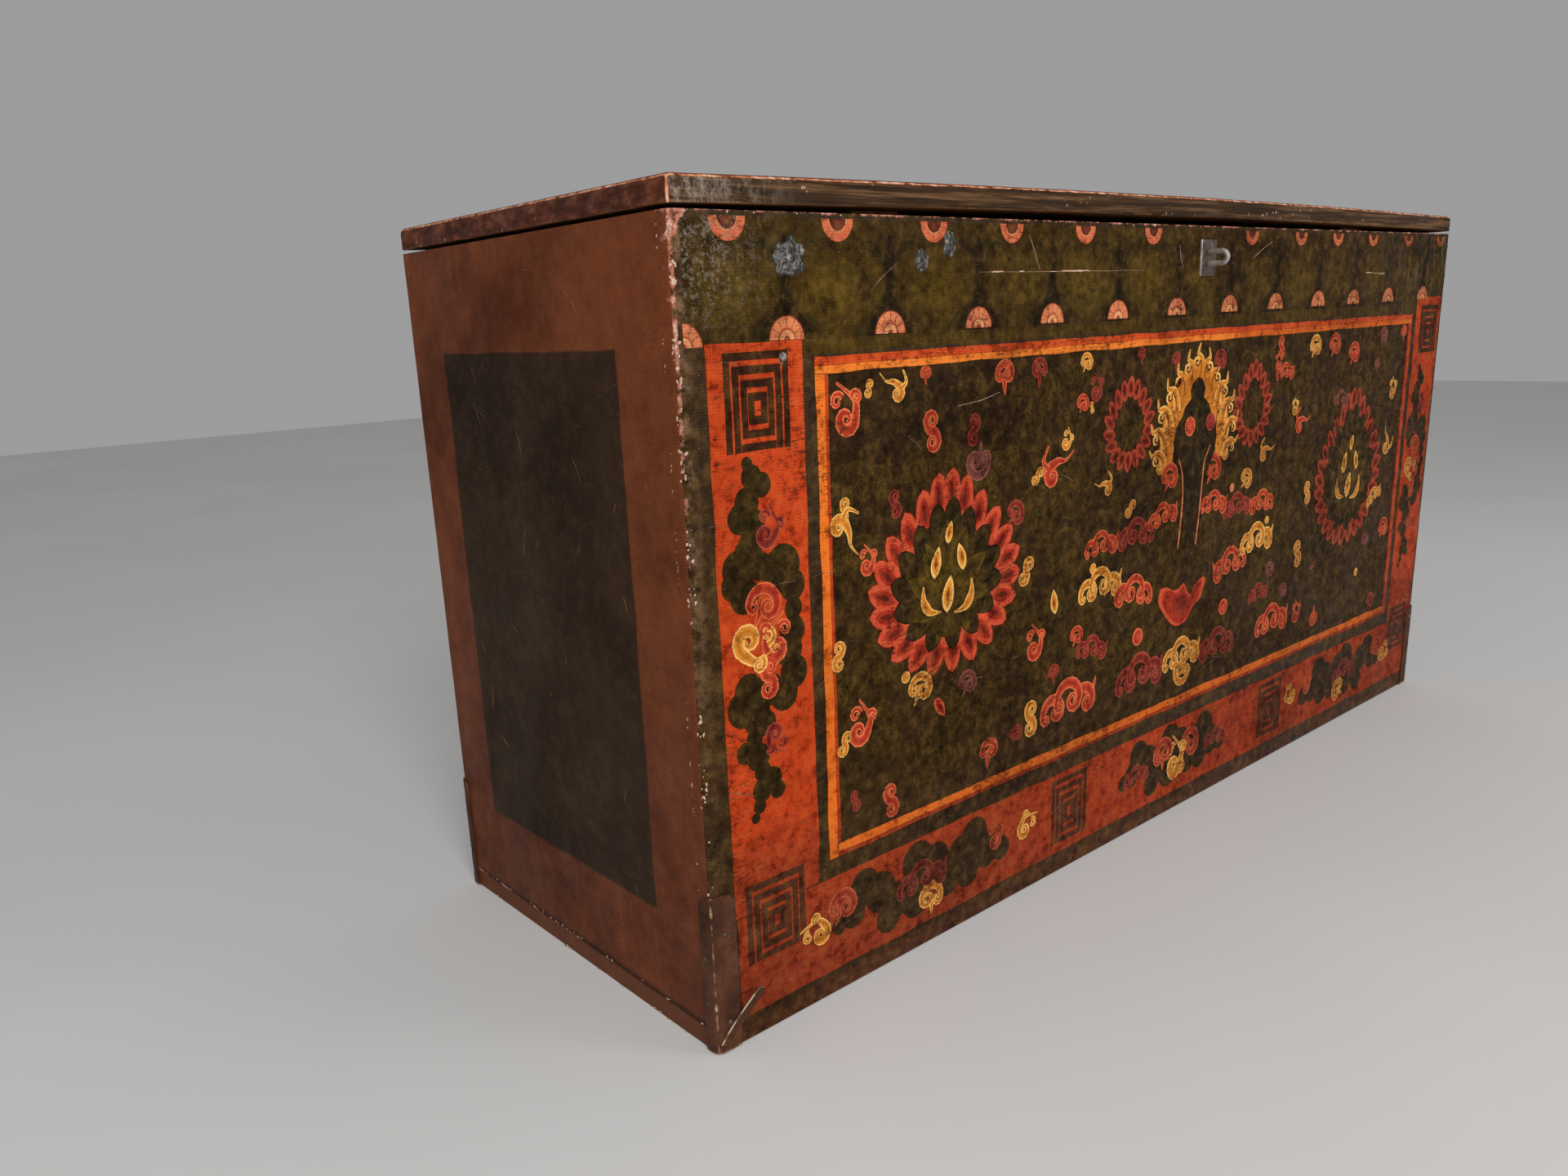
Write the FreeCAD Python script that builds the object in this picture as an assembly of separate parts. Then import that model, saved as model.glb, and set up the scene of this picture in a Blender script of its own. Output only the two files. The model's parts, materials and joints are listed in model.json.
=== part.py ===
import FreeCAD, Part
import os
from math import cos, pi, radians, sin

# A painted trunk: a carcass of boards with dovetailed corners on a pegged bottom, skinned in
# painted cloth, with hide caps on its lower corners, an iron staple for a padlock and a bowed
# board lid on two strap hinges. Millimetres. X runs along the front towards the viewer's right,
# the front faces -Y, and Z is up from the underside, whose middle is the origin.

# Carcass, measured over the cloth
LENGTH = 1090.0
DEPTH = 350.0
HEIGHT = 530.0
CORNER_ROUND = 5.0

# Boards
WALL = 18.0
END_WALL = 20.0
BOTTOM = 16.0
FRONT_STRIP = 39.0
FRONT_LOWER = 228.0
BACK_LOWER = 262.0
END_LOWER = 246.0
BOTTOM_MIDDLE = 122.0

# Dovetails
TAIL_COUNT = 6
TAIL_ROOT = 44.0
TAIL_FLARE_SHARE = 0.16

# Pegs through the bottom boards
PEG_COUNT = 6
PEG_RADIUS = 3.5
PEG_DEPTH = 34.0
PEG_SINK = 0.5
PEG_CLEARANCE = 0.05
PEG_END_INSET = 70.0

# Cloth and its ground
CLOTH = 1.2
CLOTH_RETURN = 12.0
CLOTH_LIFT = 1.0

# Hide caps on the lower corners
CAP = 1.5
CAP_HEIGHT = 100.0
CAP_LONG_WIDTH = 20.0
CAP_END_WIDTH = 12.0
CAP_LIFT = 1.0
CAP_LONG_NAIL_SHARES = (0.22, 0.86)
CAP_END_NAIL_SHARES = (0.38, 0.70)

# Hide flap that has peeled off the near cap
FLAP = 1.8
FLAP_LENGTH = 46.0
FLAP_WIDTH = 6.0
FLAP_RISE = 5.0
FLAP_FOOT_X = 5.0
FLAP_FOOT_Z = 5.0
FLAP_LEAN_DEG = 45.0

# Lock plate and staple
LOCK_X = 21.0
LOCK_DROP = 26.0
PLATE = 1.6
PLATE_WIDTH = 24.0
PLATE_HEIGHT = 30.0
PLATE_CLIP = 4.0
PLATE_NAIL_INSET = 3.6
STAPLE_ROD = 4.4
STAPLE_SPREAD = 9.8
STAPLE_REACH = 25.0
STAPLE_CLENCH = 9.0
STAPLE_CLEARANCE = 0.2

# Strap hinges
HINGE_X = 300.0
HINGE_WIDTH = 36.0
LEAF = 2.5
BACK_LEAF_LENGTH = 95.0
LID_LEAF_LENGTH = 120.0
LEAF_TIP_WIDTH = 14.0
PIN_RADIUS = 2.5
PIN_CLEARANCE = 0.05
PIN_HEAD = 1.4
PIN_HEAD_RADIUS = 3.8
KNUCKLE_GAP = 0.4
BACK_LEAF_NAIL_SHARES = ((-0.26, 0.2), (0.26, 0.2), (0.0, 0.55), (0.0, 0.9))
LID_LEAF_NAIL_SHARES = ((-0.26, 0.18), (0.26, 0.18), (0.0, 0.55), (0.0, 0.9))

# Lid
LID = 16.0
LID_GAP = 3.0
LID_BOW = 4.0
LID_ROUND = 5.0
LID_FRONT = 186.0

# Battens under the lid
BATTEN = 16.0
BATTEN_WIDTH = 44.0
BATTEN_INSET = 190.0
BATTEN_MARGIN = 9.0
BATTEN_BEVEL = 8.0
BATTEN_NAIL_SHARES = (-0.36, -0.14, 0.2, 0.4)

# Forged nails, and the smaller tacks that hold the plate and the caps
NAIL_HEAD_RADIUS = 3.2
NAIL_HEAD = 1.5
NAIL_SIDE = 2.4
NAIL_LENGTH = 13.0
BATTEN_NAIL_LENGTH = 27.0
TACK_HEAD_RADIUS = 2.0
TACK_HEAD = 0.9
TACK_SIDE = 1.4
TACK_LENGTH = 11.0
NAIL_SEAT = 0.05
NAIL_CLEARANCE = 0.1
FORGED_SIDES = 8
HEAD_TOP_SHARE = 0.45

# How far a cutting shape runs past what it cuts
OVERRUN = 3.0

V = FreeCAD.Vector
UP = V(0, 0, 1)
FRONTWARDS = V(0, -1, 0)
BACKWARDS = V(0, 1, 0)

half_length = LENGTH / 2
half_depth = DEPTH / 2
wood_x = half_length - CLOTH
wood_y = half_depth - CLOTH
wood_round = CORNER_ROUND - CLOTH
inner_x = wood_x - END_WALL
inner_y = wood_y - WALL
lid_low = HEIGHT + LID_GAP
lid_high = lid_low + LID
barrel_radius = PIN_RADIUS + PIN_CLEARANCE + LEAF
hinge_y = half_depth + barrel_radius
hinge_z = lid_low
lock_z = HEIGHT - LOCK_DROP
plate_front = -half_depth - PLATE


# Basic shapes

def block(x0, x1, y0, y1, z0, z1):
    return Part.makeBox(x1 - x0, y1 - y0, z1 - z0, V(x0, y0, z0))


def plan_prism(half_x, half_y, radius, z0, z1):
    """Upright prism on a rectangle with rounded corners."""
    square = block(-half_x, half_x, -half_y, half_y, z0, z1)
    upright = [e for e in square.Edges if e.BoundBox.ZLength > e.BoundBox.XLength + e.BoundBox.YLength]
    return square.makeFillet(radius, upright)


def plan_ring(half_x, half_y, radius, thickness, z0, z1):
    """Skin of the given thickness round the outside of a rounded rectangle."""
    outside = plan_prism(half_x + thickness, half_y + thickness, radius + thickness, z0, z1)
    return outside.cut(plan_prism(half_x, half_y, radius, z0 - OVERRUN, z1 + OVERRUN))


def prism(points, run):
    """Solid from a closed outline of straight sides, run along a vector."""
    return Part.Face(Part.makePolygon(points + points[:1])).extrude(run)


def bow_arc(z, y):
    """The lid's bow as an arc from end to end, at height z over both ends."""
    return Part.Arc(V(-half_length, y, z), V(0, y, z + LID_BOW), V(half_length, y, z)).toShape()


def bow_rise(x):
    """How far the bow stands over its ends at x."""
    radius = (half_length ** 2 + LID_BOW ** 2) / (2 * LID_BOW)
    return (radius ** 2 - x ** 2) ** 0.5 - (radius - LID_BOW)


def bowed_slab(low, high, y0, y1):
    """Slab between two bowed faces, at the given heights over the trunk's ends."""
    left = Part.makeLine(V(-half_length, y0, low), V(-half_length, y0, high))
    right = Part.makeLine(V(half_length, y0, low), V(half_length, y0, high))
    outline = Part.Wire([left, bow_arc(high, y0), right, bow_arc(low, y0)])
    return Part.Face(outline).extrude(V(0, y1 - y0, 0))


# Fasteners

def facet_points(radius, z):
    """Corners of a hammered or whittled section, with flats that face along X and Y."""
    turns = [2 * pi * (i + 0.5) / FORGED_SIDES for i in range(FORGED_SIDES)]
    return [V(radius * cos(a), radius * sin(a), z) for a in turns]


def facet_rod(radius, length):
    return prism(facet_points(radius, 0), V(0, 0, length))


def facet_frustum(low_radius, high_radius, low, high):
    """Hammered taper between two levels, closed by flat faces."""
    foot, crown = facet_points(low_radius, low), facet_points(high_radius, high)
    rims = [foot[::-1], crown]
    for i in range(FORGED_SIDES):
        rims.append([foot[i - 1], foot[i], crown[i], crown[i - 1]])
    return Part.Solid(Part.Shell([Part.Face(Part.makePolygon(rim + rim[:1])) for rim in rims]))


def forged_nail(head_radius, head, side, length):
    """Hammered faceted head on a square shank, driven along -Z from the origin."""
    shank = block(-side / 2, side / 2, -side / 2, side / 2, -length, NAIL_SEAT)
    return facet_frustum(head_radius, head_radius * HEAD_TOP_SHARE, NAIL_SEAT, NAIL_SEAT + head).fuse(shank)


def nail_hole(side, length):
    half = side / 2 + NAIL_CLEARANCE
    return block(-half, half, -half, half, -length - NAIL_CLEARANCE, OVERRUN)


def placed(shape, spots):
    """A copy of the shape at each spot, a place and the direction its head faces."""
    copies = []
    for place, outwards in spots:
        copy = shape.copy()
        copy.Placement = FreeCAD.Placement(place, FreeCAD.Rotation(UP, outwards))
        copies.append(copy)
    return copies


def cap_nail_spots():
    spots = []
    long_x = half_length - CAP_LONG_WIDTH / 2
    end_y = half_depth - CAP_END_WIDTH / 2
    for side_x in (-1, 1):
        for side_y in (-1, 1):
            for share in CAP_LONG_NAIL_SHARES:
                place = V(side_x * long_x, side_y * (half_depth + CAP), share * CAP_HEIGHT)
                spots.append((place, V(0, side_y, 0)))
            for share in CAP_END_NAIL_SHARES:
                place = V(side_x * (half_length + CAP), side_y * end_y, share * CAP_HEIGHT)
                spots.append((place, V(side_x, 0, 0)))
    return spots


def lock_nail_spots():
    x_step = PLATE_WIDTH / 2 - PLATE_NAIL_INSET
    z_step = PLATE_HEIGHT / 2 - PLATE_NAIL_INSET
    corners = [(-1, 1), (1, 1), (-1, -1)]
    return [(V(LOCK_X + i * x_step, plate_front, lock_z + k * z_step), FRONTWARDS) for i, k in corners]


def back_leaf_spots(hinge_x):
    top = hinge_z - barrel_radius - KNUCKLE_GAP
    return [
        (V(hinge_x + across * HINGE_WIDTH, half_depth + LEAF, top - along * BACK_LEAF_LENGTH), BACKWARDS)
        for across, along in BACK_LEAF_NAIL_SHARES
    ]


def lid_leaf_spots(hinge_x):
    spots = []
    for across, along in LID_LEAF_NAIL_SHARES:
        x = hinge_x + across * HINGE_WIDTH
        spots.append((V(x, half_depth - along * LID_LEAF_LENGTH, lid_high + LEAF + bow_rise(x)), UP))
    return spots


def batten_spots(batten_x):
    return [(V(batten_x, share * DEPTH, lid_high + bow_rise(batten_x)), UP) for share in BATTEN_NAIL_SHARES]


def peg_places():
    """Two rows under the long walls, and a pair under each end wall in the middle board."""
    reach = wood_x - PEG_END_INSET
    long_y = wood_y - WALL / 2
    end_x = wood_x - END_WALL / 2
    places = []
    for i in range(PEG_COUNT):
        x = -reach + 2 * reach * i / (PEG_COUNT - 1)
        places += [(x, -long_y), (x, long_y)]
    for side_x in (-1, 1):
        places += [(side_x * end_x, -BOTTOM_MIDDLE / 4), (side_x * end_x, BOTTOM_MIDDLE / 4)]
    return places


def pegs(radius, low):
    """Whittled pegs from height low up into the walls."""
    return placed(facet_rod(radius, BOTTOM + PEG_DEPTH - low), [(V(x, y, low), UP) for x, y in peg_places()])


# Carcass boards

def tails(side_x, side_y):
    """Dovetails of a long wall at one corner, seen as trapeziums from the front or back."""
    root_x = side_x * inner_x
    tip_x = side_x * wood_x
    y = side_y * wood_y
    root = TAIL_ROOT / 2
    tip = root + END_WALL * TAIL_FLARE_SHARE
    pitch = (HEIGHT - BOTTOM) / TAIL_COUNT
    corner = []
    for i in range(TAIL_COUNT):
        z = BOTTOM + pitch * (i + 0.5)
        outline = [V(root_x, y, z - root), V(tip_x, y, z - tip), V(tip_x, y, z + tip), V(root_x, y, z + root)]
        corner.append(prism(outline, V(0, -side_y * WALL, 0)))
    return corner


def long_wall(side_y, holes):
    faces = sorted((side_y * wood_y, side_y * inner_y))
    wall = block(-inner_x, inner_x, faces[0], faces[1], BOTTOM, HEIGHT)
    wall = wall.fuse(tails(-1, side_y) + tails(1, side_y)).removeSplitter()
    return wall.common(plan_prism(wood_x, wood_y, wood_round, BOTTOM, HEIGHT)).cut(holes)


def end_wall(side_x, holes):
    faces = sorted((side_x * wood_x, side_x * inner_x))
    wall = block(faces[0], faces[1], -wood_y, wood_y, BOTTOM, HEIGHT)
    wall = wall.cut(tails(side_x, -1) + tails(side_x, 1))
    return wall.common(plan_prism(wood_x, wood_y, wood_round, BOTTOM, HEIGHT)).cut(holes)


def planks(wall, heights):
    """The boards of a wall between neighbouring heights, from the bottom up."""
    boards = []
    for low, high in zip(heights, heights[1:]):
        boards.append(wall.common(block(-half_length, half_length, -half_depth, half_depth, low, high)))
    return boards


def carcass_boards(holes):
    front = planks(long_wall(-1, holes), (BOTTOM, BOTTOM + FRONT_LOWER, HEIGHT - FRONT_STRIP, HEIGHT))
    back = planks(long_wall(1, holes), (BOTTOM, BOTTOM + BACK_LOWER, HEIGHT))
    left = planks(end_wall(-1, holes), (BOTTOM, BOTTOM + END_LOWER, HEIGHT))
    right = planks(end_wall(1, holes), (BOTTOM, BOTTOM + END_LOWER, HEIGHT))
    nodes = dict(zip(("front_lower_plank", "front_middle_plank", "front_top_plank"), front))
    nodes.update(zip(("back_lower_plank", "back_upper_plank"), back))
    nodes.update(zip(("left_lower_plank", "left_upper_plank"), left))
    nodes.update(zip(("right_lower_plank", "right_upper_plank"), right))
    return nodes


def bottom_boards(holes):
    floor = plan_prism(wood_x, wood_y, wood_round, 0, BOTTOM).cut(holes)
    edges = (-wood_y, -BOTTOM_MIDDLE / 2, BOTTOM_MIDDLE / 2, wood_y)
    names = ("bottom_front_plank", "bottom_middle_plank", "bottom_back_plank")
    nodes = {}
    for name, y0, y1 in zip(names, edges, edges[1:]):
        nodes[name] = floor.common(block(-half_length, half_length, y0, y1, 0, BOTTOM))
    return nodes


# Cloth and hide

def cloth_skins(holes):
    """Front and back cloths turn the corners onto the ends, and the end cloths butt against them."""
    skin = plan_ring(wood_x, wood_y, wood_round, CLOTH, CLOTH_LIFT, HEIGHT).cut(holes)
    turn_y = half_depth - CLOTH_RETURN
    return {
        "front_cloth": skin.common(block(-half_length, half_length, -half_depth, -turn_y, 0, HEIGHT)),
        "back_cloth": skin.common(block(-half_length, half_length, turn_y, half_depth, 0, HEIGHT)),
        "left_cloth": skin.common(block(-half_length, 0, -turn_y, turn_y, BOTTOM, HEIGHT)),
        "right_cloth": skin.common(block(0, half_length, -turn_y, turn_y, BOTTOM, HEIGHT)),
    }


def corner_caps(holes):
    ring = plan_ring(half_length, half_depth, CORNER_ROUND, CAP, CAP_LIFT, CAP_HEIGHT).cut(holes)
    nodes = {}
    for end, side_x in (("left", -1), ("right", 1)):
        for face, side_y in (("front", -1), ("back", 1)):
            xs = sorted((side_x * (half_length - CAP_LONG_WIDTH), side_x * (half_length + CAP)))
            ys = sorted((side_y * (half_depth - CAP_END_WIDTH), side_y * (half_depth + CAP)))
            nodes["cap_%s_%s" % (face, end)] = ring.common(block(*xs, *ys, CAP_LIFT, CAP_HEIGHT))
    return nodes


def hide_flap():
    """Strip that lies on the cap at its foot and curls off it towards its rounded tip."""
    def curl(z):
        middle = V(FLAP_LENGTH / 2, 0, z + FLAP_RISE / 4)
        return Part.Arc(V(0, 0, z), middle, V(FLAP_LENGTH, 0, z + FLAP_RISE)).toShape()

    foot = Part.makeLine(V(0, 0, 0), V(0, 0, FLAP))
    tip = Part.makeLine(V(FLAP_LENGTH, 0, FLAP_RISE), V(FLAP_LENGTH, 0, FLAP + FLAP_RISE))
    strip = Part.Face(Part.Wire([foot, curl(FLAP), tip, curl(0)])).extrude(V(0, FLAP_WIDTH, 0))
    half = FLAP_WIDTH / 2
    straight = block(0, FLAP_LENGTH - half, 0, FLAP_WIDTH, 0, FLAP + FLAP_RISE)
    rounded = Part.makeCylinder(half, FLAP + FLAP_RISE, V(FLAP_LENGTH - half, half, 0))
    strip = strip.common(straight.fuse(rounded))
    lean = radians(FLAP_LEAN_DEG)
    turn = FreeCAD.Rotation(V(cos(lean), 0, sin(lean)), V(-sin(lean), 0, cos(lean)), FRONTWARDS, "XZY")
    foot_place = V(-half_length + FLAP_FOOT_X, -half_depth - CAP, FLAP_FOOT_Z)
    strip.Placement = FreeCAD.Placement(foot_place, turn)
    return strip


# Lock

def lock_plate():
    x0, x1 = LOCK_X - PLATE_WIDTH / 2, LOCK_X + PLATE_WIDTH / 2
    z0, z1 = lock_z - PLATE_HEIGHT / 2, lock_z + PLATE_HEIGHT / 2
    outline = [V(x0, plate_front, z0), V(x1 - PLATE_CLIP, plate_front, z0),
               V(x1, plate_front, z0 + PLATE_CLIP), V(x1, plate_front, z1), V(x0, plate_front, z1)]
    return prism(outline, V(0, PLATE, 0))


def lock_staple():
    """Bent rod: a loop in front of the plate, and two legs clenched flat inside the wall."""
    rod = STAPLE_ROD / 2
    bend = rod + STAPLE_CLEARANCE
    leg = STAPLE_SPREAD / 2
    inside = -inner_y
    loop_y = plate_front - STAPLE_REACH + rod + leg
    clench_y = inside + bend

    def at(y, z):
        return V(LOCK_X, y, lock_z + z)

    diagonal = bend * (1 - sin(pi / 4))
    path = [Part.Arc(at(loop_y, leg), at(loop_y - leg, 0), at(loop_y, -leg)).toShape()]
    for side in (1, -1):
        path.append(Part.makeLine(at(loop_y, side * leg), at(inside, side * leg)))
        turn = Part.Arc(at(inside, side * leg), at(clench_y - diagonal, side * (leg + diagonal)),
                        at(clench_y, side * (leg + bend)))
        path.append(turn.toShape())
        path.append(Part.makeLine(at(clench_y, side * (leg + bend)),
                                  at(clench_y, side * (leg + bend + STAPLE_CLENCH))))
    wire = Part.Wire(Part.__sortEdges__(path))
    corners = facet_points(rod, 0)
    section = Part.makePolygon(corners + corners[:1])
    section.translate(wire.OrderedVertexes[0].Point)
    return wire.makePipeShell([section], True, False)


def staple_holes():
    hole = facet_rod(STAPLE_ROD / 2 + STAPLE_CLEARANCE, PLATE + CLOTH + WALL + 2 * OVERRUN)
    legs = [lock_z - STAPLE_SPREAD / 2, lock_z + STAPLE_SPREAD / 2]
    return placed(hole, [(V(LOCK_X, plate_front - OVERRUN, z), BACKWARDS) for z in legs])


# Hinges

def knuckles(hinge_x, spans):
    """Rolled barrels over the given stretches of the hinge's width, not yet bored."""
    return [Part.makeCylinder(barrel_radius, x1 - x0, V(hinge_x + x0, hinge_y, hinge_z), V(1, 0, 0))
            for x0, x1 in spans]


def pin_bore(hinge_x):
    half = HINGE_WIDTH / 2 + OVERRUN
    start = V(hinge_x - half, hinge_y, hinge_z)
    return Part.makeCylinder(PIN_RADIUS + PIN_CLEARANCE, 2 * half, start, V(1, 0, 0))


def leaf_outline(hinge_x, length):
    """Strap outline in (across, along): full width at the barrel, drawn out to a narrow tip."""
    half, tip = HINGE_WIDTH / 2, LEAF_TIP_WIDTH / 2
    return [(hinge_x - half, 0), (hinge_x + half, 0), (hinge_x + tip, length - tip),
            (hinge_x, length), (hinge_x - tip, length - tip)]


def back_leaf(hinge_x):
    top = hinge_z - barrel_radius - KNUCKLE_GAP
    third = HINGE_WIDTH / 6
    spans = [(-3 * third, -third - KNUCKLE_GAP / 2), (third + KNUCKLE_GAP / 2, 3 * third)]
    outline = [V(x, half_depth, top - along) for x, along in leaf_outline(hinge_x, BACK_LEAF_LENGTH)]
    leaf = prism(outline, V(0, LEAF, 0))
    tongues = [block(hinge_x + x0, hinge_x + x1, half_depth, half_depth + LEAF, top, hinge_z)
               for x0, x1 in spans]
    leaf = leaf.fuse(tongues + knuckles(hinge_x, spans)).removeSplitter().cut(pin_bore(hinge_x))
    return leaf.cut(placed(nail_hole(NAIL_SIDE, NAIL_LENGTH), back_leaf_spots(hinge_x)))


def lid_leaf(hinge_x):
    """Strap over the lid's top that turns down its back edge to the middle knuckle."""
    third = HINGE_WIDTH / 6
    span = (-third + KNUCKLE_GAP / 2, third - KNUCKLE_GAP / 2)
    crown = lid_high + LEAF
    outline = [V(x, half_depth - along, lid_high) for x, along in leaf_outline(hinge_x, LID_LEAF_LENGTH)]
    strap = prism(outline, V(0, 0, LID_BOW + LEAF))
    strap = strap.common(bowed_slab(lid_high, crown, half_depth - LID_LEAF_LENGTH, half_depth))
    drop_z = hinge_z + barrel_radius + KNUCKLE_GAP
    drop = block(hinge_x - HINGE_WIDTH / 2, hinge_x + HINGE_WIDTH / 2, half_depth, half_depth + LEAF,
                 drop_z, crown + LID_BOW)
    above = bowed_slab(crown, crown + LID_BOW + OVERRUN, half_depth - OVERRUN, half_depth + LEAF + OVERRUN)
    drop = drop.cut(above)
    tongue = block(hinge_x + span[0], hinge_x + span[1], half_depth, half_depth + LEAF, hinge_z, drop_z)
    leaf = strap.fuse([drop, tongue] + knuckles(hinge_x, [span])).removeSplitter().cut(pin_bore(hinge_x))
    return leaf.cut(placed(nail_hole(NAIL_SIDE, NAIL_LENGTH), lid_leaf_spots(hinge_x)))


def hinge_pin(hinge_x):
    """Round pin, held by a hammered head past each end of the barrel."""
    half = HINGE_WIDTH / 2 + KNUCKLE_GAP
    along = V(1, 0, 0)
    ends = [V(hinge_x - half, hinge_y, hinge_z), V(hinge_x + half, hinge_y, hinge_z)]
    shaft = Part.makeCylinder(PIN_RADIUS, 2 * half, ends[0], along)
    heads = placed(facet_rod(PIN_HEAD_RADIUS, PIN_HEAD), [(ends[0], -along), (ends[1], along)])
    return shaft.fuse(heads)


# Lid

def lid_boards(holes):
    """Two boards with a sharp underside, worn round along their upper edges and at the corners."""
    boards = bowed_slab(lid_low, lid_high, -half_depth, half_depth)
    worn = [e for e in boards.Edges if e.BoundBox.ZMax > lid_low + LID_BOW + LID / 2]
    boards = boards.makeFillet(LID_ROUND, worn).cut(holes)
    joint_y = -half_depth + LID_FRONT
    top = lid_high + LID_BOW
    return {
        "lid_front_plank": boards.common(block(-half_length, half_length, -half_depth, joint_y, lid_low, top)),
        "lid_back_plank": boards.common(block(-half_length, half_length, joint_y, half_depth, lid_low, top)),
    }


def batten(batten_x):
    """Bar across the boards with bevelled ends, its upper face cut to the lid's bow."""
    reach = inner_y - BATTEN_MARGIN
    low = lid_low - BATTEN
    x0 = batten_x - BATTEN_WIDTH / 2
    outline = [V(x0, -reach + BATTEN_BEVEL, low), V(x0, reach - BATTEN_BEVEL, low),
               V(x0, reach, low + BATTEN_BEVEL), V(x0, reach, lid_low + LID_BOW),
               V(x0, -reach, lid_low + LID_BOW), V(x0, -reach, low + BATTEN_BEVEL)]
    bar = prism(outline, V(BATTEN_WIDTH, 0, 0))
    bar = bar.cut(bowed_slab(lid_low, lid_high + LID_BOW, -half_depth, half_depth))
    return bar.cut(placed(nail_hole(NAIL_SIDE, BATTEN_NAIL_LENGTH), batten_spots(batten_x)))


# The whole trunk

def trunk():
    nail = forged_nail(NAIL_HEAD_RADIUS, NAIL_HEAD, NAIL_SIDE, NAIL_LENGTH)
    tack = forged_nail(TACK_HEAD_RADIUS, TACK_HEAD, TACK_SIDE, TACK_LENGTH)
    batten_nail = forged_nail(NAIL_HEAD_RADIUS, NAIL_HEAD, NAIL_SIDE, BATTEN_NAIL_LENGTH)
    hinges = {"left": -HINGE_X, "right": HINGE_X}
    batten_x = half_length - BATTEN_INSET
    battens = {"left": -batten_x, "right": batten_x}
    back_spots = back_leaf_spots(-HINGE_X) + back_leaf_spots(HINGE_X)
    lid_spots = lid_leaf_spots(-HINGE_X) + lid_leaf_spots(HINGE_X)
    top_spots = batten_spots(-batten_x) + batten_spots(batten_x)

    cap_holes = placed(nail_hole(TACK_SIDE, TACK_LENGTH), cap_nail_spots())
    lock_holes = placed(nail_hole(TACK_SIDE, TACK_LENGTH), lock_nail_spots()) + staple_holes()
    back_holes = placed(nail_hole(NAIL_SIDE, NAIL_LENGTH), back_spots)
    peg_holes = pegs(PEG_RADIUS + PEG_CLEARANCE, -OVERRUN)
    skin_holes = cap_holes + lock_holes + back_holes
    lid_holes = placed(nail_hole(NAIL_SIDE, NAIL_LENGTH), lid_spots)
    lid_holes += placed(nail_hole(NAIL_SIDE, BATTEN_NAIL_LENGTH), top_spots)

    nodes = carcass_boards(skin_holes + peg_holes)
    nodes.update(bottom_boards(peg_holes + cap_holes))
    nodes.update(cloth_skins(skin_holes))
    nodes.update(corner_caps(cap_holes))
    nodes["hide_flap"] = hide_flap()
    nodes["lock_plate"] = lock_plate().cut(lock_holes)
    nodes["lock_staple"] = lock_staple()
    nodes.update(lid_boards(lid_holes))
    for side, x in hinges.items():
        nodes[side + "_hinge_back_leaf"] = back_leaf(x)
        nodes[side + "_hinge_lid_leaf"] = lid_leaf(x)
        nodes[side + "_hinge_pin"] = hinge_pin(x)
    for side, x in battens.items():
        nodes[side + "_batten"] = batten(x)
    nodes["bottom_pegs"] = Part.makeCompound(pegs(PEG_RADIUS, PEG_SINK))
    nodes["cap_nails"] = Part.makeCompound(placed(tack, cap_nail_spots()))
    nodes["lock_nails"] = Part.makeCompound(placed(tack, lock_nail_spots()))
    nodes["hinge_back_nails"] = Part.makeCompound(placed(nail, back_spots))
    nodes["hinge_lid_nails"] = Part.makeCompound(placed(nail, lid_spots))
    nodes["batten_nails"] = Part.makeCompound(placed(batten_nail, top_spots))
    return nodes


os.makedirs("parts", exist_ok=True)
for name, shape in trunk().items():
    shape.exportStep("parts/%s.step" % name)
    print("%-24s solids %2d valid %s volume %.0f" % (name, len(shape.Solids), shape.isValid(), shape.Volume))
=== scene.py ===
import json
import random
from math import atan2, ceil, cos, hypot, pi, radians, sin, sqrt

import bmesh
import bpy
from mathutils import Matrix, Vector, noise

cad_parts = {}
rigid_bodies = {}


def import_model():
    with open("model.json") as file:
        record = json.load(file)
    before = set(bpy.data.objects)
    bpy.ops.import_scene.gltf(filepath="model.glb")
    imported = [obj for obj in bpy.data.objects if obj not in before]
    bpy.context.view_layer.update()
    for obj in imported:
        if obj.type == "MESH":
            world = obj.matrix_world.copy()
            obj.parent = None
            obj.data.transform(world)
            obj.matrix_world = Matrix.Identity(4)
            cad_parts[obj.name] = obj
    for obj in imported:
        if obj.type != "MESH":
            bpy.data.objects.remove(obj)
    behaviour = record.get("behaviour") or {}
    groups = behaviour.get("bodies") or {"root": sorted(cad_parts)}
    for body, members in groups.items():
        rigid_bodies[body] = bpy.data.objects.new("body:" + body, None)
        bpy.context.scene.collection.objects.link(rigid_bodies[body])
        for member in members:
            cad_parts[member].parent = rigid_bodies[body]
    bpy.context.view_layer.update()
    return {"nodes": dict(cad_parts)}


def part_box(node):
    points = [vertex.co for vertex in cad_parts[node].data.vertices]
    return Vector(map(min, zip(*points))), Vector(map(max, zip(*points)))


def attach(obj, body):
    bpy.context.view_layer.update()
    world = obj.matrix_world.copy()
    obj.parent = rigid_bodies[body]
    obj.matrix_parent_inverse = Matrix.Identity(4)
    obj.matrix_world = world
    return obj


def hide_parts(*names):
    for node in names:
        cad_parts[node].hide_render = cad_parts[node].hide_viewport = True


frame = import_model()

# A painted trunk: cloth skins painted in mineral colours over a boarded carcass, under a bowed lid.
# Metres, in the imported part's frame. Paint is laid out on the painter's grid of the front: u counts
# grid squares from its left edge, v from its top edge.

MM = 0.001
SAME_PLACE = 0.001 * MM
GRID_LONG = 2050
GRID_TALL = 1000
SEED = 7

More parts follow.
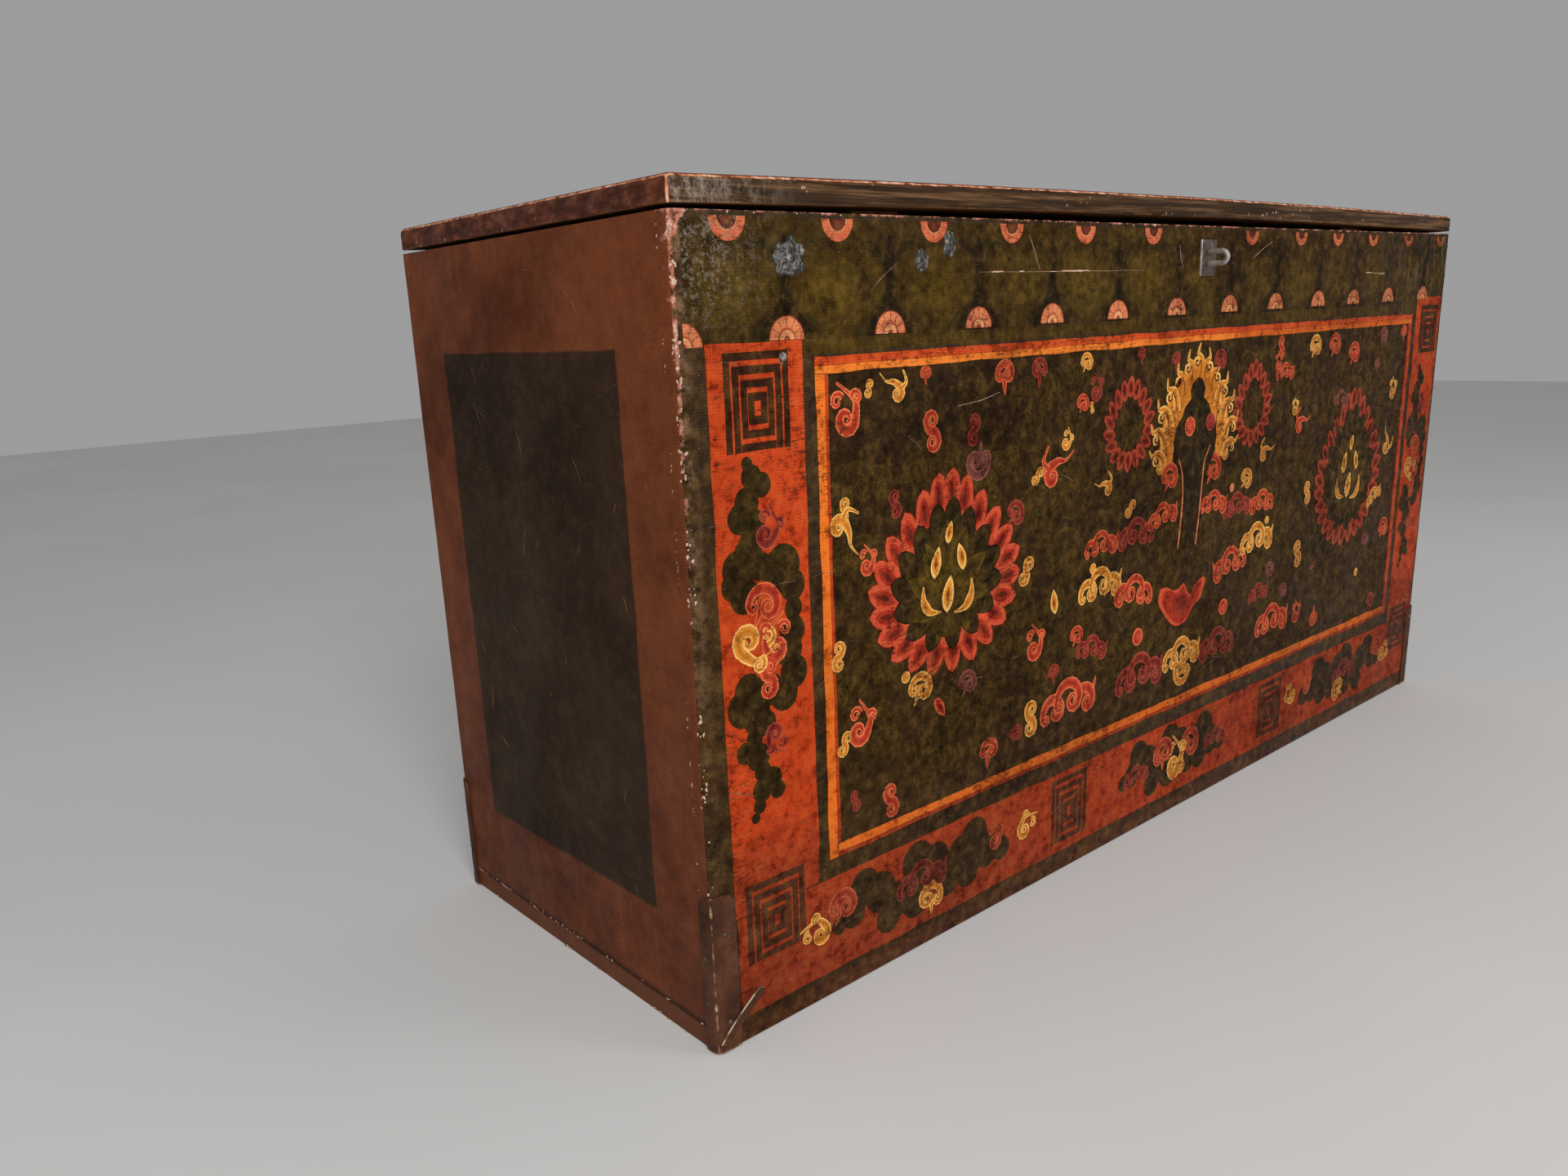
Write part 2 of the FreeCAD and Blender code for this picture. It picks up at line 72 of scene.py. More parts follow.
front_low, front_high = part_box("front_cloth")
lid_front_low, lid_front_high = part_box("lid_front_plank")
lid_back_low, lid_back_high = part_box("lid_back_plank")
half_long = front_high.x
half_deep = -front_low.y
rim_z = front_high.z
cloth_foot = front_low.z
return_y = -front_high.y
board_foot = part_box("left_cloth")[0].z
GRID = rim_z / GRID_TALL

CORNER_ROUND = 5 * MM
CORNER_STEPS = 6
CLOTH = 1.2 * MM
CLOTH_FRAY = 1.2 * MM
SKIN_STEP = 8 * MM
RETURN_STEPS = 4
PANEL_MIDDLE_Y = 3 * MM
PANEL_MIDDLE_Z = 270 * MM
PANEL_HALF_DEEP = 116.5 * MM
PANEL_HALF_TALL = 185 * MM
PANEL_EDGE = 1 * MM
CAP = 1.5 * MM
CAP_LONG_REACH = 20 * MM
CAP_END_REACH = 12 * MM
NEAR_CAP_EXTRA = 16 * MM
FLAP_LENGTH = 46 * MM
FLAP_WIDTH = 6 * MM
FLAP_THICK = 1.8 * MM
FLAP_RISE = 5 * MM
FLAP_SLANT = radians(45)
PLATE_CLIP = 4 * MM
PLATE_BEVEL = 0.7 * MM
STAPLE_ROD = 2.6 * MM
STAPLE_LEG = 4.9 * MM
STAPLE_BEND = 3 * MM
STAPLE_WORN = 6 * MM
LID_BOW = 4 * MM
LID_THICK = 16 * MM
LID_ROUND = 5 * MM


# Small helpers

def across(u):
    return -half_long + 2 * half_long * u / GRID_LONG


def upright(v):
    return rim_z * (1 - v / GRID_TALL)


def paint(red, green, blue):
    """A colour as given, in 0 to 255, turned to the linear values that shaders take."""
    def linear(level):
        share = level / 255
        return share / 12.92 if share <= 0.04045 else ((share + 0.055) / 1.055) ** 2.4
    return (linear(red), linear(green), linear(blue), 1.0)


def blend(a, b, share):
    return tuple(p + (q - p) * share for p, q in zip(a, b))


def ease(low, high, value):
    share = min(max((value - low) / (high - low), 0.0), 1.0)
    return share * share * (3 - 2 * share)


def rough(x, y, z, scale):
    """Smooth noise from -1 to 1 over space."""
    return noise.noise(Vector((x, y, z)) * scale)


def new_mesh_object(name, corners, faces):
    mesh = bpy.data.meshes.new(name)
    mesh.from_pydata(corners, [], faces)
    mesh.validate()
    piece = bpy.data.objects.new(name, mesh)
    bpy.context.scene.collection.objects.link(piece)
    return piece


def set_points(piece, name, kind, values):
    """Stores one value for each point of a piece's mesh."""
    layer = piece.data.attributes.new(name, kind, "POINT")
    key = {"FLOAT": "value", "INT": "value", "FLOAT_VECTOR": "vector", "FLOAT_COLOR": "color"}[kind]
    flat = [part for value in values for part in value] if kind.startswith("FLOAT_") else list(values)
    layer.data.foreach_set(key, flat)


def shade_smooth(piece, angle):
    piece.data.polygons.foreach_set("use_smooth", [True] * len(piece.data.polygons))
    piece.data.set_sharp_from_angle(angle=radians(angle))


def outward(piece):
    """Turns every face of a closed mesh to look outwards."""
    mend = bmesh.new()
    mend.from_mesh(piece.data)
    bmesh.ops.recalc_face_normals(mend, faces=mend.faces)
    mend.to_mesh(piece.data)
    mend.free()


def worn_piece(name, corners, faces, wear, angle):
    """A closed piece with its wear stored on its points, shaded smooth over edges up to an angle."""
    piece = new_mesh_object(name, corners, faces)
    set_points(piece, "wear", "FLOAT", wear)
    outward(piece)
    shade_smooth(piece, angle)
    return piece


def round_grid(grid):
    """Indices round the outside of a grid of points, anticlockwise from its first corner."""
    right = [line[-1] for line in grid[:-1]]
    left = [line[0] for line in grid[:0:-1]]
    return grid[0][:-1] + right + grid[-1][:0:-1] + left


def sheet_faces(rows, columns):
    """Faces of a closed sheet: two layers of points in rows and columns, joined round their edges."""
    grid = [[k * columns + i for i in range(columns)] for k in range(rows)]
    back = rows * columns
    faces = []
    for low, high in zip(grid, grid[1:]):
        for i in range(columns - 1):
            quad = (low[i], low[i + 1], high[i + 1], high[i])
            faces.append(quad)
            faces.append(tuple(back + index for index in reversed(quad)))
    rim = round_grid(grid)
    for a, b in zip(rim, rim[1:] + rim[:1]):
        faces.append((b, a, back + a, back + b))
    return faces


def quarter_turn(x, y, radius, start, sweep=pi / 2):
    """Plan of a rounded corner, as places and the way that each one faces."""
    angles = [start + sweep * i / CORNER_STEPS for i in range(CORNER_STEPS + 1)]
    return [(x + radius * cos(a), y + radius * sin(a), cos(a), sin(a)) for a in angles]


def settle(piece, body, slot, *nodes):
    """Hands a finished piece to its body and hides the solids that it stands for; its slot is not used."""
    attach(piece, body)
    if nodes:
        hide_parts(*nodes)


def feed(tree, node, inputs):
    """Links or sets the inputs of a node, given by name or number."""
    for key, value in inputs.items():
        if isinstance(value, bpy.types.NodeSocket):
            tree.links.new(value, node.inputs[key])
        else:
            node.inputs[key].default_value = value


def add_node(tree, kind, inputs, output=0, **settings):
    """One output of a new node that has the inputs and settings given."""
    node = tree.nodes.new(kind)
    for key, value in settings.items():
        setattr(node, key, value)
    feed(tree, node, inputs)
    return node.outputs[output]


# Finishes

class Finish:
    """A node material in the making, with short calls for the nodes that every finish here uses."""

    def __init__(self, name):
        self.material = bpy.data.materials.new(name)
        self.material.use_nodes = True
        self.tree = self.material.node_tree
        self.place = self.node("ShaderNodeTexCoord", {}, "Object")

    def node(self, kind, inputs, output=0, **settings):
        return add_node(self.tree, kind, inputs, output, **settings)

    def noise(self, scale, detail=4.0, roughness=0.55, stretch=None, distortion=0.0):
        place = self.place
        if stretch:
            place = self.node("ShaderNodeMapping", {"Vector": place, "Scale": stretch})
        return self.node("ShaderNodeTexNoise", {
            "Vector": place, "Scale": scale, "Detail": detail,
            "Roughness": roughness, "Distortion": distortion,
        })

    def cells(self, scale):
        return self.node("ShaderNodeTexVoronoi", {"Vector": self.place, "Scale": scale}, "Distance")

    def threads(self, scale, direction):
        values = {"Vector": self.place, "Scale": scale, "Distortion": 1.2, "Detail Scale": 0.6}
        return self.node("ShaderNodeTexWave", values, 1, bands_direction=direction)

    def attribute(self, name, output="Fac"):
        return self.node("ShaderNodeAttribute", {}, output, attribute_name=name)

    def axis(self, name):
        return self.node("ShaderNodeSeparateXYZ", {0: self.place}, name)

    def math(self, operation, a, b):
        return self.node("ShaderNodeMath", {0: a, 1: b}, operation=operation)

    def times(self, a, b):
        return self.math("MULTIPLY", a, b)

    def span(self, value, low, high, to_low=0.0, to_high=1.0):
        """Eases a value from one span to another, held at both ends."""
        values = {0: value, 1: low, 2: high, 3: to_low, 4: to_high}
        return self.node("ShaderNodeMapRange", values, interpolation_type="SMOOTHSTEP")

    def ramp(self, value, *stops):
        """Colours (position, colour) along a value."""
        node = self.tree.nodes.new("ShaderNodeValToRGB")
        elements = node.color_ramp.elements
        for _ in range(len(stops) - 2):
            elements.new(0.5)
        for element, (position, colour) in zip(elements, stops):
            element.position = position
            element.color = colour
        feed(self.tree, node, {0: value})
        return node.outputs[0]

    def mix(self, share, a, b, mode="MIX"):
        return self.node("ShaderNodeMix", {0: share, 6: a, 7: b}, 2, data_type="RGBA", blend_type=mode)

    def stained(self, share, colour, stain):
        """A colour under a share of a clear stain."""
        return self.mix(share, colour, self.mix(1.0, colour, stain, "MULTIPLY"))

    def lightened(self, share, colour, light):
        """A colour with a share of some light added."""
        return self.mix(share, colour, self.mix(1.0, colour, light, "ADD"))

    def patchy(self, scale, low, high, detail=4.0):
        """A level that drifts between two values in soft patches."""
        return self.span(self.noise(scale, detail), 0.3, 0.7, low, high)

    def ragged_wear(self, scale):
        """The wear stored on a piece, made ragged."""
        edge = self.times(self.noise(scale, 5.0, 0.65), 0.9)
        return self.math("ADD", self.attribute("wear"), edge)

    def near_left(self, start, stop):
        """Full at the left edge of the front, gone beyond a distance from it."""
        return self.span(self.axis("X"), -half_long + start, -half_long + stop, 1.0, 0.0)

    def bump(self, height, strength, distance, under=None):
        values = {"Height": height, "Strength": strength, "Distance": distance}
        if under is not None:
            values["Normal"] = under
        return self.node("ShaderNodeBump", values)

    def woven(self, strength):
        """Relief of the cloth under the paint: two crossed sets of threads, uneven from place to place."""
        level = self.threads(190.0, "Z")
        plumb = self.threads(175.0, "X")
        uneven = self.times(self.math("ADD", level, plumb), self.noise(60.0, 2.0))
        return self.bump(uneven, strength, 0.35 * MM)

    def done(self, colour, roughness, normal, coat=0.0, coat_roughness=0.2, metallic=0.0, specular=0.06):
        feed(self.tree, self.tree.nodes["Principled BSDF"], {
            "Base Color": colour, "Roughness": roughness, "Normal": normal, "Metallic": metallic,
            "Specular IOR Level": specular, "Coat Weight": coat, "Coat Roughness": coat_roughness,
        })
        return self.material


CHALK = paint(222, 196, 178)
WORN_PINK = paint(178, 110, 88)
WORN_ORANGE = paint(206, 122, 78)
# Tone that paint is dulled towards: painted shade on the right, darker at the foot.
SHADE_AND_FOOT_TONE = paint(66, 46, 34)


def worn_away(f, colour, reach=0.5, under=WORN_PINK):
    """Lets the underpaint and then pale chalk show where a piece's wear runs high."""
    ragged = f.ragged_wear(140.0)
    pink = f.span(ragged, 0.72 + reach, 0.84 + reach)
    pale = f.span(ragged, 0.84 + reach, 0.98 + reach)
    return f.mix(pale, f.mix(pink, colour, under), CHALK)


def aged(f, colour, grime, scuff, uneven=1.0):
    """Age over any paint here: smoke in patches, rubbed specks, pale dots and the show of the cloth."""
    smoke = f.span(f.noise(6.5, 6.0, 0.66), 0.42, 0.72, 0.0, grime)
    colour = f.stained(smoke, colour, paint(132, 104, 84))
    weave = f.times(f.math("ADD", f.threads(150.0, "Z"), f.threads(138.0, "X")), 0.5)
    colour = f.stained(f.span(weave, 0.2, 0.55, 0.3, 0.0), colour, paint(176, 150, 132))
    grain = f.noise(310.0, 4.0, 0.72, stretch=(0.55, 1.0, 1.6))
    rubbed = f.math("ADD", grain, f.times(f.noise(12.0, 4.0, 0.6), 0.55))
    colour = f.mix(f.span(rubbed, 0.83, 0.95, 0.0, 0.75 * uneven), colour, paint(52, 34, 20))
    mottle = f.noise(85.0, 7.0, 0.8)
    colour = f.lightened(f.span(mottle, 0.5, 0.61, 0.0, 0.85 * uneven), colour, paint(62, 44, 16))
    colour = f.stained(f.span(mottle, 0.37, 0.5, 0.85 * uneven, 0.0), colour, paint(150, 132, 118))
    where = f.span(f.noise(21.0, 3.0), 0.55, 0.66, 0.0, scuff)
    dots = f.times(f.math("LESS_THAN", f.cells(230.0), 0.1), where)
    return f.mix(dots, colour, paint(150, 124, 98))


def ground_finish():
    """Dark olive-brown ground under old varnish, with rubbed streaks, fine specks, worn edges and a painted
    sheen up the left edge.
    """
    f = Finish("ground_varnish")
    tones = (0.3, paint(44, 30, 14)), (0.55, paint(62, 43, 20)), (0.75, paint(80, 57, 27))
    mottled = f.ramp(f.noise(9.0, 6.0, 0.6), *tones)
    streaks = f.noise(30.0, 5.0, 0.6, stretch=(0.35, 1.0, 3.2))
    streaked = f.mix(f.span(streaks, 0.5, 0.8, 0.0, 0.45), mottled, paint(100, 72, 42))
    # Pale patches up the left edge, stronger higher up: a painted sheen.
    sheen_patches = f.span(f.noise(70.0, 6.0, 0.7), 0.42, 0.62, 0.0, 0.75)
    sheen_patches = f.times(sheen_patches, f.span(f.axis("Z"), 180 * MM, 360 * MM, 0.25, 1.0))
    sheen_by_left = f.times(f.near_left(3 * MM, 14 * MM), sheen_patches)
    streaked = f.mix(sheen_by_left, streaked, paint(136, 106, 80))
    dusty = f.mix(f.span(f.axis("Z"), 6 * MM, 22 * MM, 0.7, 0.0), streaked, paint(84, 46, 29))
    colour = worn_away(f, aged(f, dusty, 0.8, 0.7))
    lumps = f.bump(f.noise(95.0, 4.0, 0.6), 0.5, 1.0 * MM, f.woven(0.4))
    return f.done(colour, f.patchy(18.0, 0.24, 0.5), lumps, coat=0.01, coat_roughness=0.24, specular=0.05)


def pigment_finish():
    """Hand-laid mineral colour in the tones stored on the paint, brushed, smoked and rubbed thin, with
    painted glare by the top left corner and painted sheen by the rim near the right end.
    """
    f = Finish("mineral_paint")
    laid = f.attribute("pigment", "Color")
    brushed = f.noise(22.0, 6.0, 0.62, stretch=(0.5, 1.0, 3.0))
    darker = f.stained(f.span(brushed, 0.28, 0.52, 0.4, 0.0), laid, paint(160, 118, 96))
    lighter = f.lightened(f.span(brushed, 0.56, 0.8, 0.0, 0.4), darker, paint(74, 40, 16))
    colour = aged(f, lighter, 0.62, 0.5)
    by_rim = f.span(f.axis("Z"), rim_z - 85 * MM, rim_z - 25 * MM)
    # Pale grey crazing by the top left corner: a painted glare on the varnish.
    crazing_glare = f.span(f.noise(380.0, 5.0, 0.75), 0.49, 0.64, 0.0, 0.68)
    glare_corner = f.times(f.near_left(10 * MM, 90 * MM), by_rim)
    colour = f.mix(f.times(glare_corner, crazing_glare), colour, paint(138, 128, 112))
    # Greyish streaks by the rim near the right end: a painted sheen.
    sheen_runs = f.span(f.noise(40.0, 5.0, 0.65, stretch=(2.2, 1.0, 0.3)), 0.5, 0.68, 0.0, 0.55)
    far_sheen = f.times(f.span(f.axis("X"), half_long - 230 * MM, half_long - 60 * MM), by_rim)
    colour = f.mix(f.times(far_sheen, sheen_runs), colour, paint(112, 104, 84))
    lumps = f.bump(f.noise(80.0, 4.0, 0.6), 0.4, 0.8 * MM, f.woven(0.5))
    return f.done(colour, f.patchy(18.0, 0.28, 0.52), lumps, specular=0.025)


def end_panel(f, base):
    """The near-black panel in the middle of an end, and the dark line under its cloth."""
    wobble = f.times(f.math("SUBTRACT", f.noise(20.0, 4.0), 0.5), 6 * MM)

    def within(axis, middle, half):
        away = f.math("ABSOLUTE", f.math("SUBTRACT", f.math("ADD", f.axis(axis), wobble), middle), 0.0)
        return f.span(away, half - PANEL_EDGE, half + PANEL_EDGE, 1.0, 0.0)

    beside = within("Y", PANEL_MIDDLE_Y, PANEL_HALF_DEEP)
    panel = f.times(beside, within("Z", PANEL_MIDDLE_Z, PANEL_HALF_TALL))
    tones = (0.32, paint(46, 34, 24)), (0.5, paint(52, 39, 27)), (0.7, paint(60, 45, 31))
    base = f.mix(f.times(panel, 0.94), base, f.ramp(f.noise(11.0, 6.0, 0.66), *tones))
    under_edge = f.span(f.axis("Z"), board_foot + 1.5 * MM, board_foot + 6 * MM, 0.8, 0.0)
    return f.mix(under_edge, base, paint(44, 28, 22))


def end_finish(name, with_panel):
    """Red-brown paint of the ends and the back, smoked and streaked, with a panel on each end."""
    f = Finish(name)
    tones = (0.32, paint(78, 38, 25)), (0.5, paint(111, 59, 38)), (0.68, paint(136, 74, 44))
    base = f.ramp(f.noise(6.0, 7.0, 0.66), *tones)
    drips = f.noise(24.0, 6.0, 0.66, stretch=(1.0, 2.6, 0.35))
    base = f.mix(f.span(drips, 0.5, 0.74, 0.0, 0.32), base, paint(146, 80, 44))
    sunned = f.times(f.span(f.axis("Z"), 50 * MM, 400 * MM), f.span(f.noise(3.2, 3.0), 0.4, 0.62, 0.0, 0.5))
    base = f.mix(sunned, base, paint(128, 68, 36))
    if with_panel:
        base = end_panel(f, base)
    colour = worn_away(f, aged(f, base, 0.7, 0.5, 0.3))
    lumps = f.bump(f.noise(80.0, 4.0, 0.6), 0.4, 0.8 * MM, f.woven(0.3))
    return f.done(colour, f.patchy(16.0, 0.3, 0.54), lumps, coat=0.01, coat_roughness=0.3, specular=0.04)


def lid_finish(name, dark, middle, pale, run=(0.5, 10.0, 15.0), left_sheen=0.0):
    """Paint straight on the lid's boards: streaked along the grain, rubbed through at the edges, and given
    pale streaks of painted sheen near the left end where asked.
    """
    f = Finish(name)
    grain = f.noise(22.0, 7.0, 0.68, stretch=run)
    base = f.ramp(grain, (0.32, dark), (0.5, middle), (0.66, pale))
    base = f.mix(f.span(f.noise(9.0, 4.0), 0.55, 0.75, 0.0, 0.5), base, dark)
    where = f.span(f.noise(30.0, 2.0), 0.56, 0.64)
    specks = f.times(f.math("LESS_THAN", f.cells(160.0), 0.16), where)
    base = f.mix(specks, base, paint(176, 140, 114))
    if left_sheen:
        # Pale grey streaks near the left end: a painted sheen.
        streaks = f.span(f.noise(60.0, 6.0, 0.75, stretch=(3.5, 1.0, 2.2)), 0.42, 0.66, 0.0, left_sheen)
        base = f.mix(f.times(f.near_left(8 * MM, 110 * MM), streaks), base, paint(166, 154, 138))
    colour = worn_away(f, base, 0.46, WORN_ORANGE)
    ridges = f.bump(grain, 0.7, 1.4 * MM, f.bump(f.noise(120.0, 4.0, 0.65), 0.4, 0.6 * MM))
    return f.done(colour, f.patchy(21.0, 0.34, 0.58), ridges, coat=0.01, coat_roughness=0.24, specular=0.06)


def board_finish(name, along, smeared=0.0):
    """Old unpainted softwood with grain along its boards, browned and handled, or smeared with old paint."""
    f = Finish(name)

    def fibres(share):
        return (share, 1.0, 1.0) if along == "X" else (1.0, share, 1.0)

    rings = f.noise(48.0, 6.0, 0.6, stretch=fibres(0.09), distortion=1.1)
    base = f.ramp(rings, (0.3, paint(86, 56, 34)), (0.52, paint(128, 90, 56)), (0.75, paint(156, 116, 76)))
    base = f.mix(f.span(f.noise(6.0, 5.0, 0.6), 0.46, 0.7, 0.0, 0.6), base, paint(74, 48, 32))
    pores = f.noise(300.0, 3.0, 0.7, stretch=fibres(0.05))
    base = f.mix(f.span(pores, 0.56, 0.7, 0.0, 0.5), base, paint(60, 38, 24))
    base = f.mix(f.span(f.noise(40.0, 4.0), 0.25, 0.75, smeared, smeared * 0.8), base, paint(104, 61, 46))
    relief = f.bump(pores, 0.3, 0.3 * MM, f.bump(rings, 0.3, 0.6 * MM))
    return f.done(base, f.span(rings, 0.3, 0.7, 0.62, 0.82), relief)


def hide_finish():
    """Hardened brown hide, scuffed pale at its cut edges and over the corner."""
    f = Finish("old_hide")
    tones = (0.28, paint(48, 29, 21)), (0.52, paint(78, 48, 34)), (0.78, paint(108, 70, 50))
    base = f.ramp(f.noise(38.0, 6.0, 0.62), *tones)
    pebbles = f.cells(420.0)
    base = f.mix(f.span(pebbles, 0.1, 0.5, 0.35, 0.0), base, paint(30, 20, 15))
    rub = f.ragged_wear(120.0)
    base = f.mix(f.span(rub, 1.05, 1.2, 0.0, 0.85), base, paint(140, 108, 84))
    base = f.mix(f.span(rub, 1.26, 1.4), base, paint(216, 192, 168))
    creases = f.bump(f.noise(70.0, 5.0, 0.6), 0.4, 0.8 * MM, f.bump(pebbles, 0.35, 0.25 * MM))
    return f.done(base, f.patchy(44.0, 0.4, 0.62), creases)


def iron_finish(name, dark, middle, bright, rusted):
    """Forged iron, with brown rust in its hollows and bare metal where it is handled."""
    f = Finish(name)
    scale = f.noise(150.0, 6.0, 0.65)
    base = f.ramp(scale, (0.3, dark), (0.55, middle), (0.8, bright))
    rust = f.span(f.noise(60.0, 5.0, 0.65), 0.5, 0.68, 0.0, rusted)
    base = f.mix(rust, base, paint(88, 50, 30))
    metal = f.span(rust, 0.0, 0.8, 0.5, 0.15)
    dents = f.bump(f.noise(210.0, 4.0, 0.6), 0.4, 0.4 * MM, f.bump(f.cells(120.0), 0.25, 0.5 * MM))
    return f.done(base, f.span(scale, 0.3, 0.7, 0.55, 0.34), dents, metallic=metal, specular=0.5)


def blister_finish():
    """Varnish that has boiled up in beads, black and very glossy, with pale specks of painted glints."""
    f = Finish("blistered_varnish")
    # The pale top of the ramp is painted glints.
    tones = (0.35, paint(26, 20, 14)), (0.56, paint(46, 37, 28)), (0.72, paint(150, 140, 126))
    base = f.ramp(f.noise(160.0, 4.0), *tones)
    gloss = f.span(f.noise(200.0, 3.0), 0.35, 0.65, 0.12, 0.34)
    beads = f.bump(f.cells(420.0), 0.5, 0.5 * MM)
    return f.done(base, gloss, beads, coat=0.12, coat_roughness=0.16, specular=0.3)


def chalk_finish():
    """Bare chalk ground in the breaks of the paint, pinkish and dusty."""
    f = Finish("bare_chalk")
    tones = (0.3, paint(158, 108, 92)), (0.5, paint(206, 170, 150)), (0.72, CHALK)
    base = f.ramp(f.noise(240.0, 5.0, 0.65), *tones)
    return f.done(base, f.patchy(150.0, 0.6, 0.85, 3.0), f.bump(f.noise(400.0, 4.0), 0.4, 0.3 * MM))


def floor_finish(name, colour):
    """Plain pale floor, a little cloudy."""
    f = Finish(name)
    cloudy = f.span(f.noise(1.6, 4.0, 0.5), 0.3, 0.7, 0.0, 0.35)
    base = f.mix(cloudy, colour, blend(colour, (0.0, 0.0, 0.0, 1.0), 0.12))
    return f.done(base, 0.85, f.bump(f.noise(60.0, 3.0), 0.05, 1 * MM))


ground = ground_finish()
pigment = pigment_finish()
end_paint = end_finish("end_paint", True)
back_paint = end_finish("back_paint", False)
edge_tones = paint(32, 22, 13), paint(62, 42, 25), paint(116, 84, 54)
end_tones = paint(46, 22, 16), paint(84, 44, 31), paint(124, 72, 50)
top_tones = paint(62, 31, 21), paint(96, 50, 32), paint(126, 74, 47)
# The lid's front edge is given painted sheen near its left end.
lid_edge = lid_finish("lid_edge_paint", *edge_tones, left_sheen=0.68)
lid_end = lid_finish("lid_end_paint", *end_tones, run=(3.0, 2.4, 5.0))
lid_top = lid_finish("lid_top_paint", *top_tones)
long_board = board_finish("board_along", "X")
cross_board = board_finish("board_across", "Y")
foot_board = board_finish("board_smeared", "X", 0.9)
hide = hide_finish()
iron = iron_finish("forged_iron", paint(46, 38, 33), paint(86, 73, 65), paint(156, 144, 134), 0.8)
# Bright iron: handled bare metal, and a painted highlight on the plate's left sides.
bare_and_highlit_iron = iron_finish("handled_and_highlit_iron", paint(96, 86, 78), paint(186, 174, 164), paint(240, 232, 224), 0.35)
blister = blister_finish()
chalk = chalk_finish()


# Paint colours, each from its darkest core through its body to its pale outline

TONES = {
    "coral": ((84, 24, 17), (192, 56, 36), (236, 122, 78)),
    "gold": ((104, 44, 14), (222, 132, 38), (249, 200, 112)),
    "maroon": ((58, 20, 16), (132, 39, 34), (176, 78, 62)),
    "field": ((36, 24, 10), (54, 37, 15), (68, 49, 20)),
    "olive": ((46, 33, 12), (68, 50, 15), (86, 68, 19)),
    "moss": ((42, 29, 11), (60, 43, 15), (72, 55, 18)),
    "leaf": ((32, 23, 9), (50, 37, 15), (66, 51, 19)),
    "rosette": ((86, 40, 28), (206, 98, 66), (236, 176, 118)),
    "vermilion": ((142, 44, 22), (194, 66, 27), (224, 92, 40)),
    "amber": ((204, 82, 28), (238, 122, 40), (248, 166, 76)),
    "scuff": ((92, 66, 46), (126, 98, 74), (170, 142, 116)),
    "ink": ((46, 26, 14), (64, 36, 19), (100, 50, 31)),
    "mauve": ((74, 34, 31), (118, 62, 56), (152, 92, 82)),
    "brick": ((72, 24, 17), (158, 50, 34), (200, 100, 68)),
}
PALETTE = {name: [paint(*tone) for tone in tones] for name, tones in TONES.items()}
PIGMENTS = list(PALETTE)
KEPT_BRIGHT = ("amber", "gold")


def pigment_colour(name, tone, x, z):
    """A pigment at one tone, dulled towards the right as painted shade, and darker towards the foot."""
    core, body, outline = PALETTE[name]
    colour = blend(core, body, tone * 2) if tone < 0.5 else blend(body, outline, tone * 2 - 1)
    u = (x + half_long) / (2 * half_long)
    v = 1 - z / rim_z
    foot = (0.4 * ease(0.69, 0.8, v) + 0.1 * ease(0.8, 0.95, v)) * (1 - 0.6 * ease(0.15, 0.6, u))
    if name in KEPT_BRIGHT:
        foot *= 0.25
    # The share that grows towards the right is painted shade.
    return blend(colour, SHADE_AND_FOOT_TONE, 0.22 * ease(0.35, 1.0, u) + foot)


# Paint films

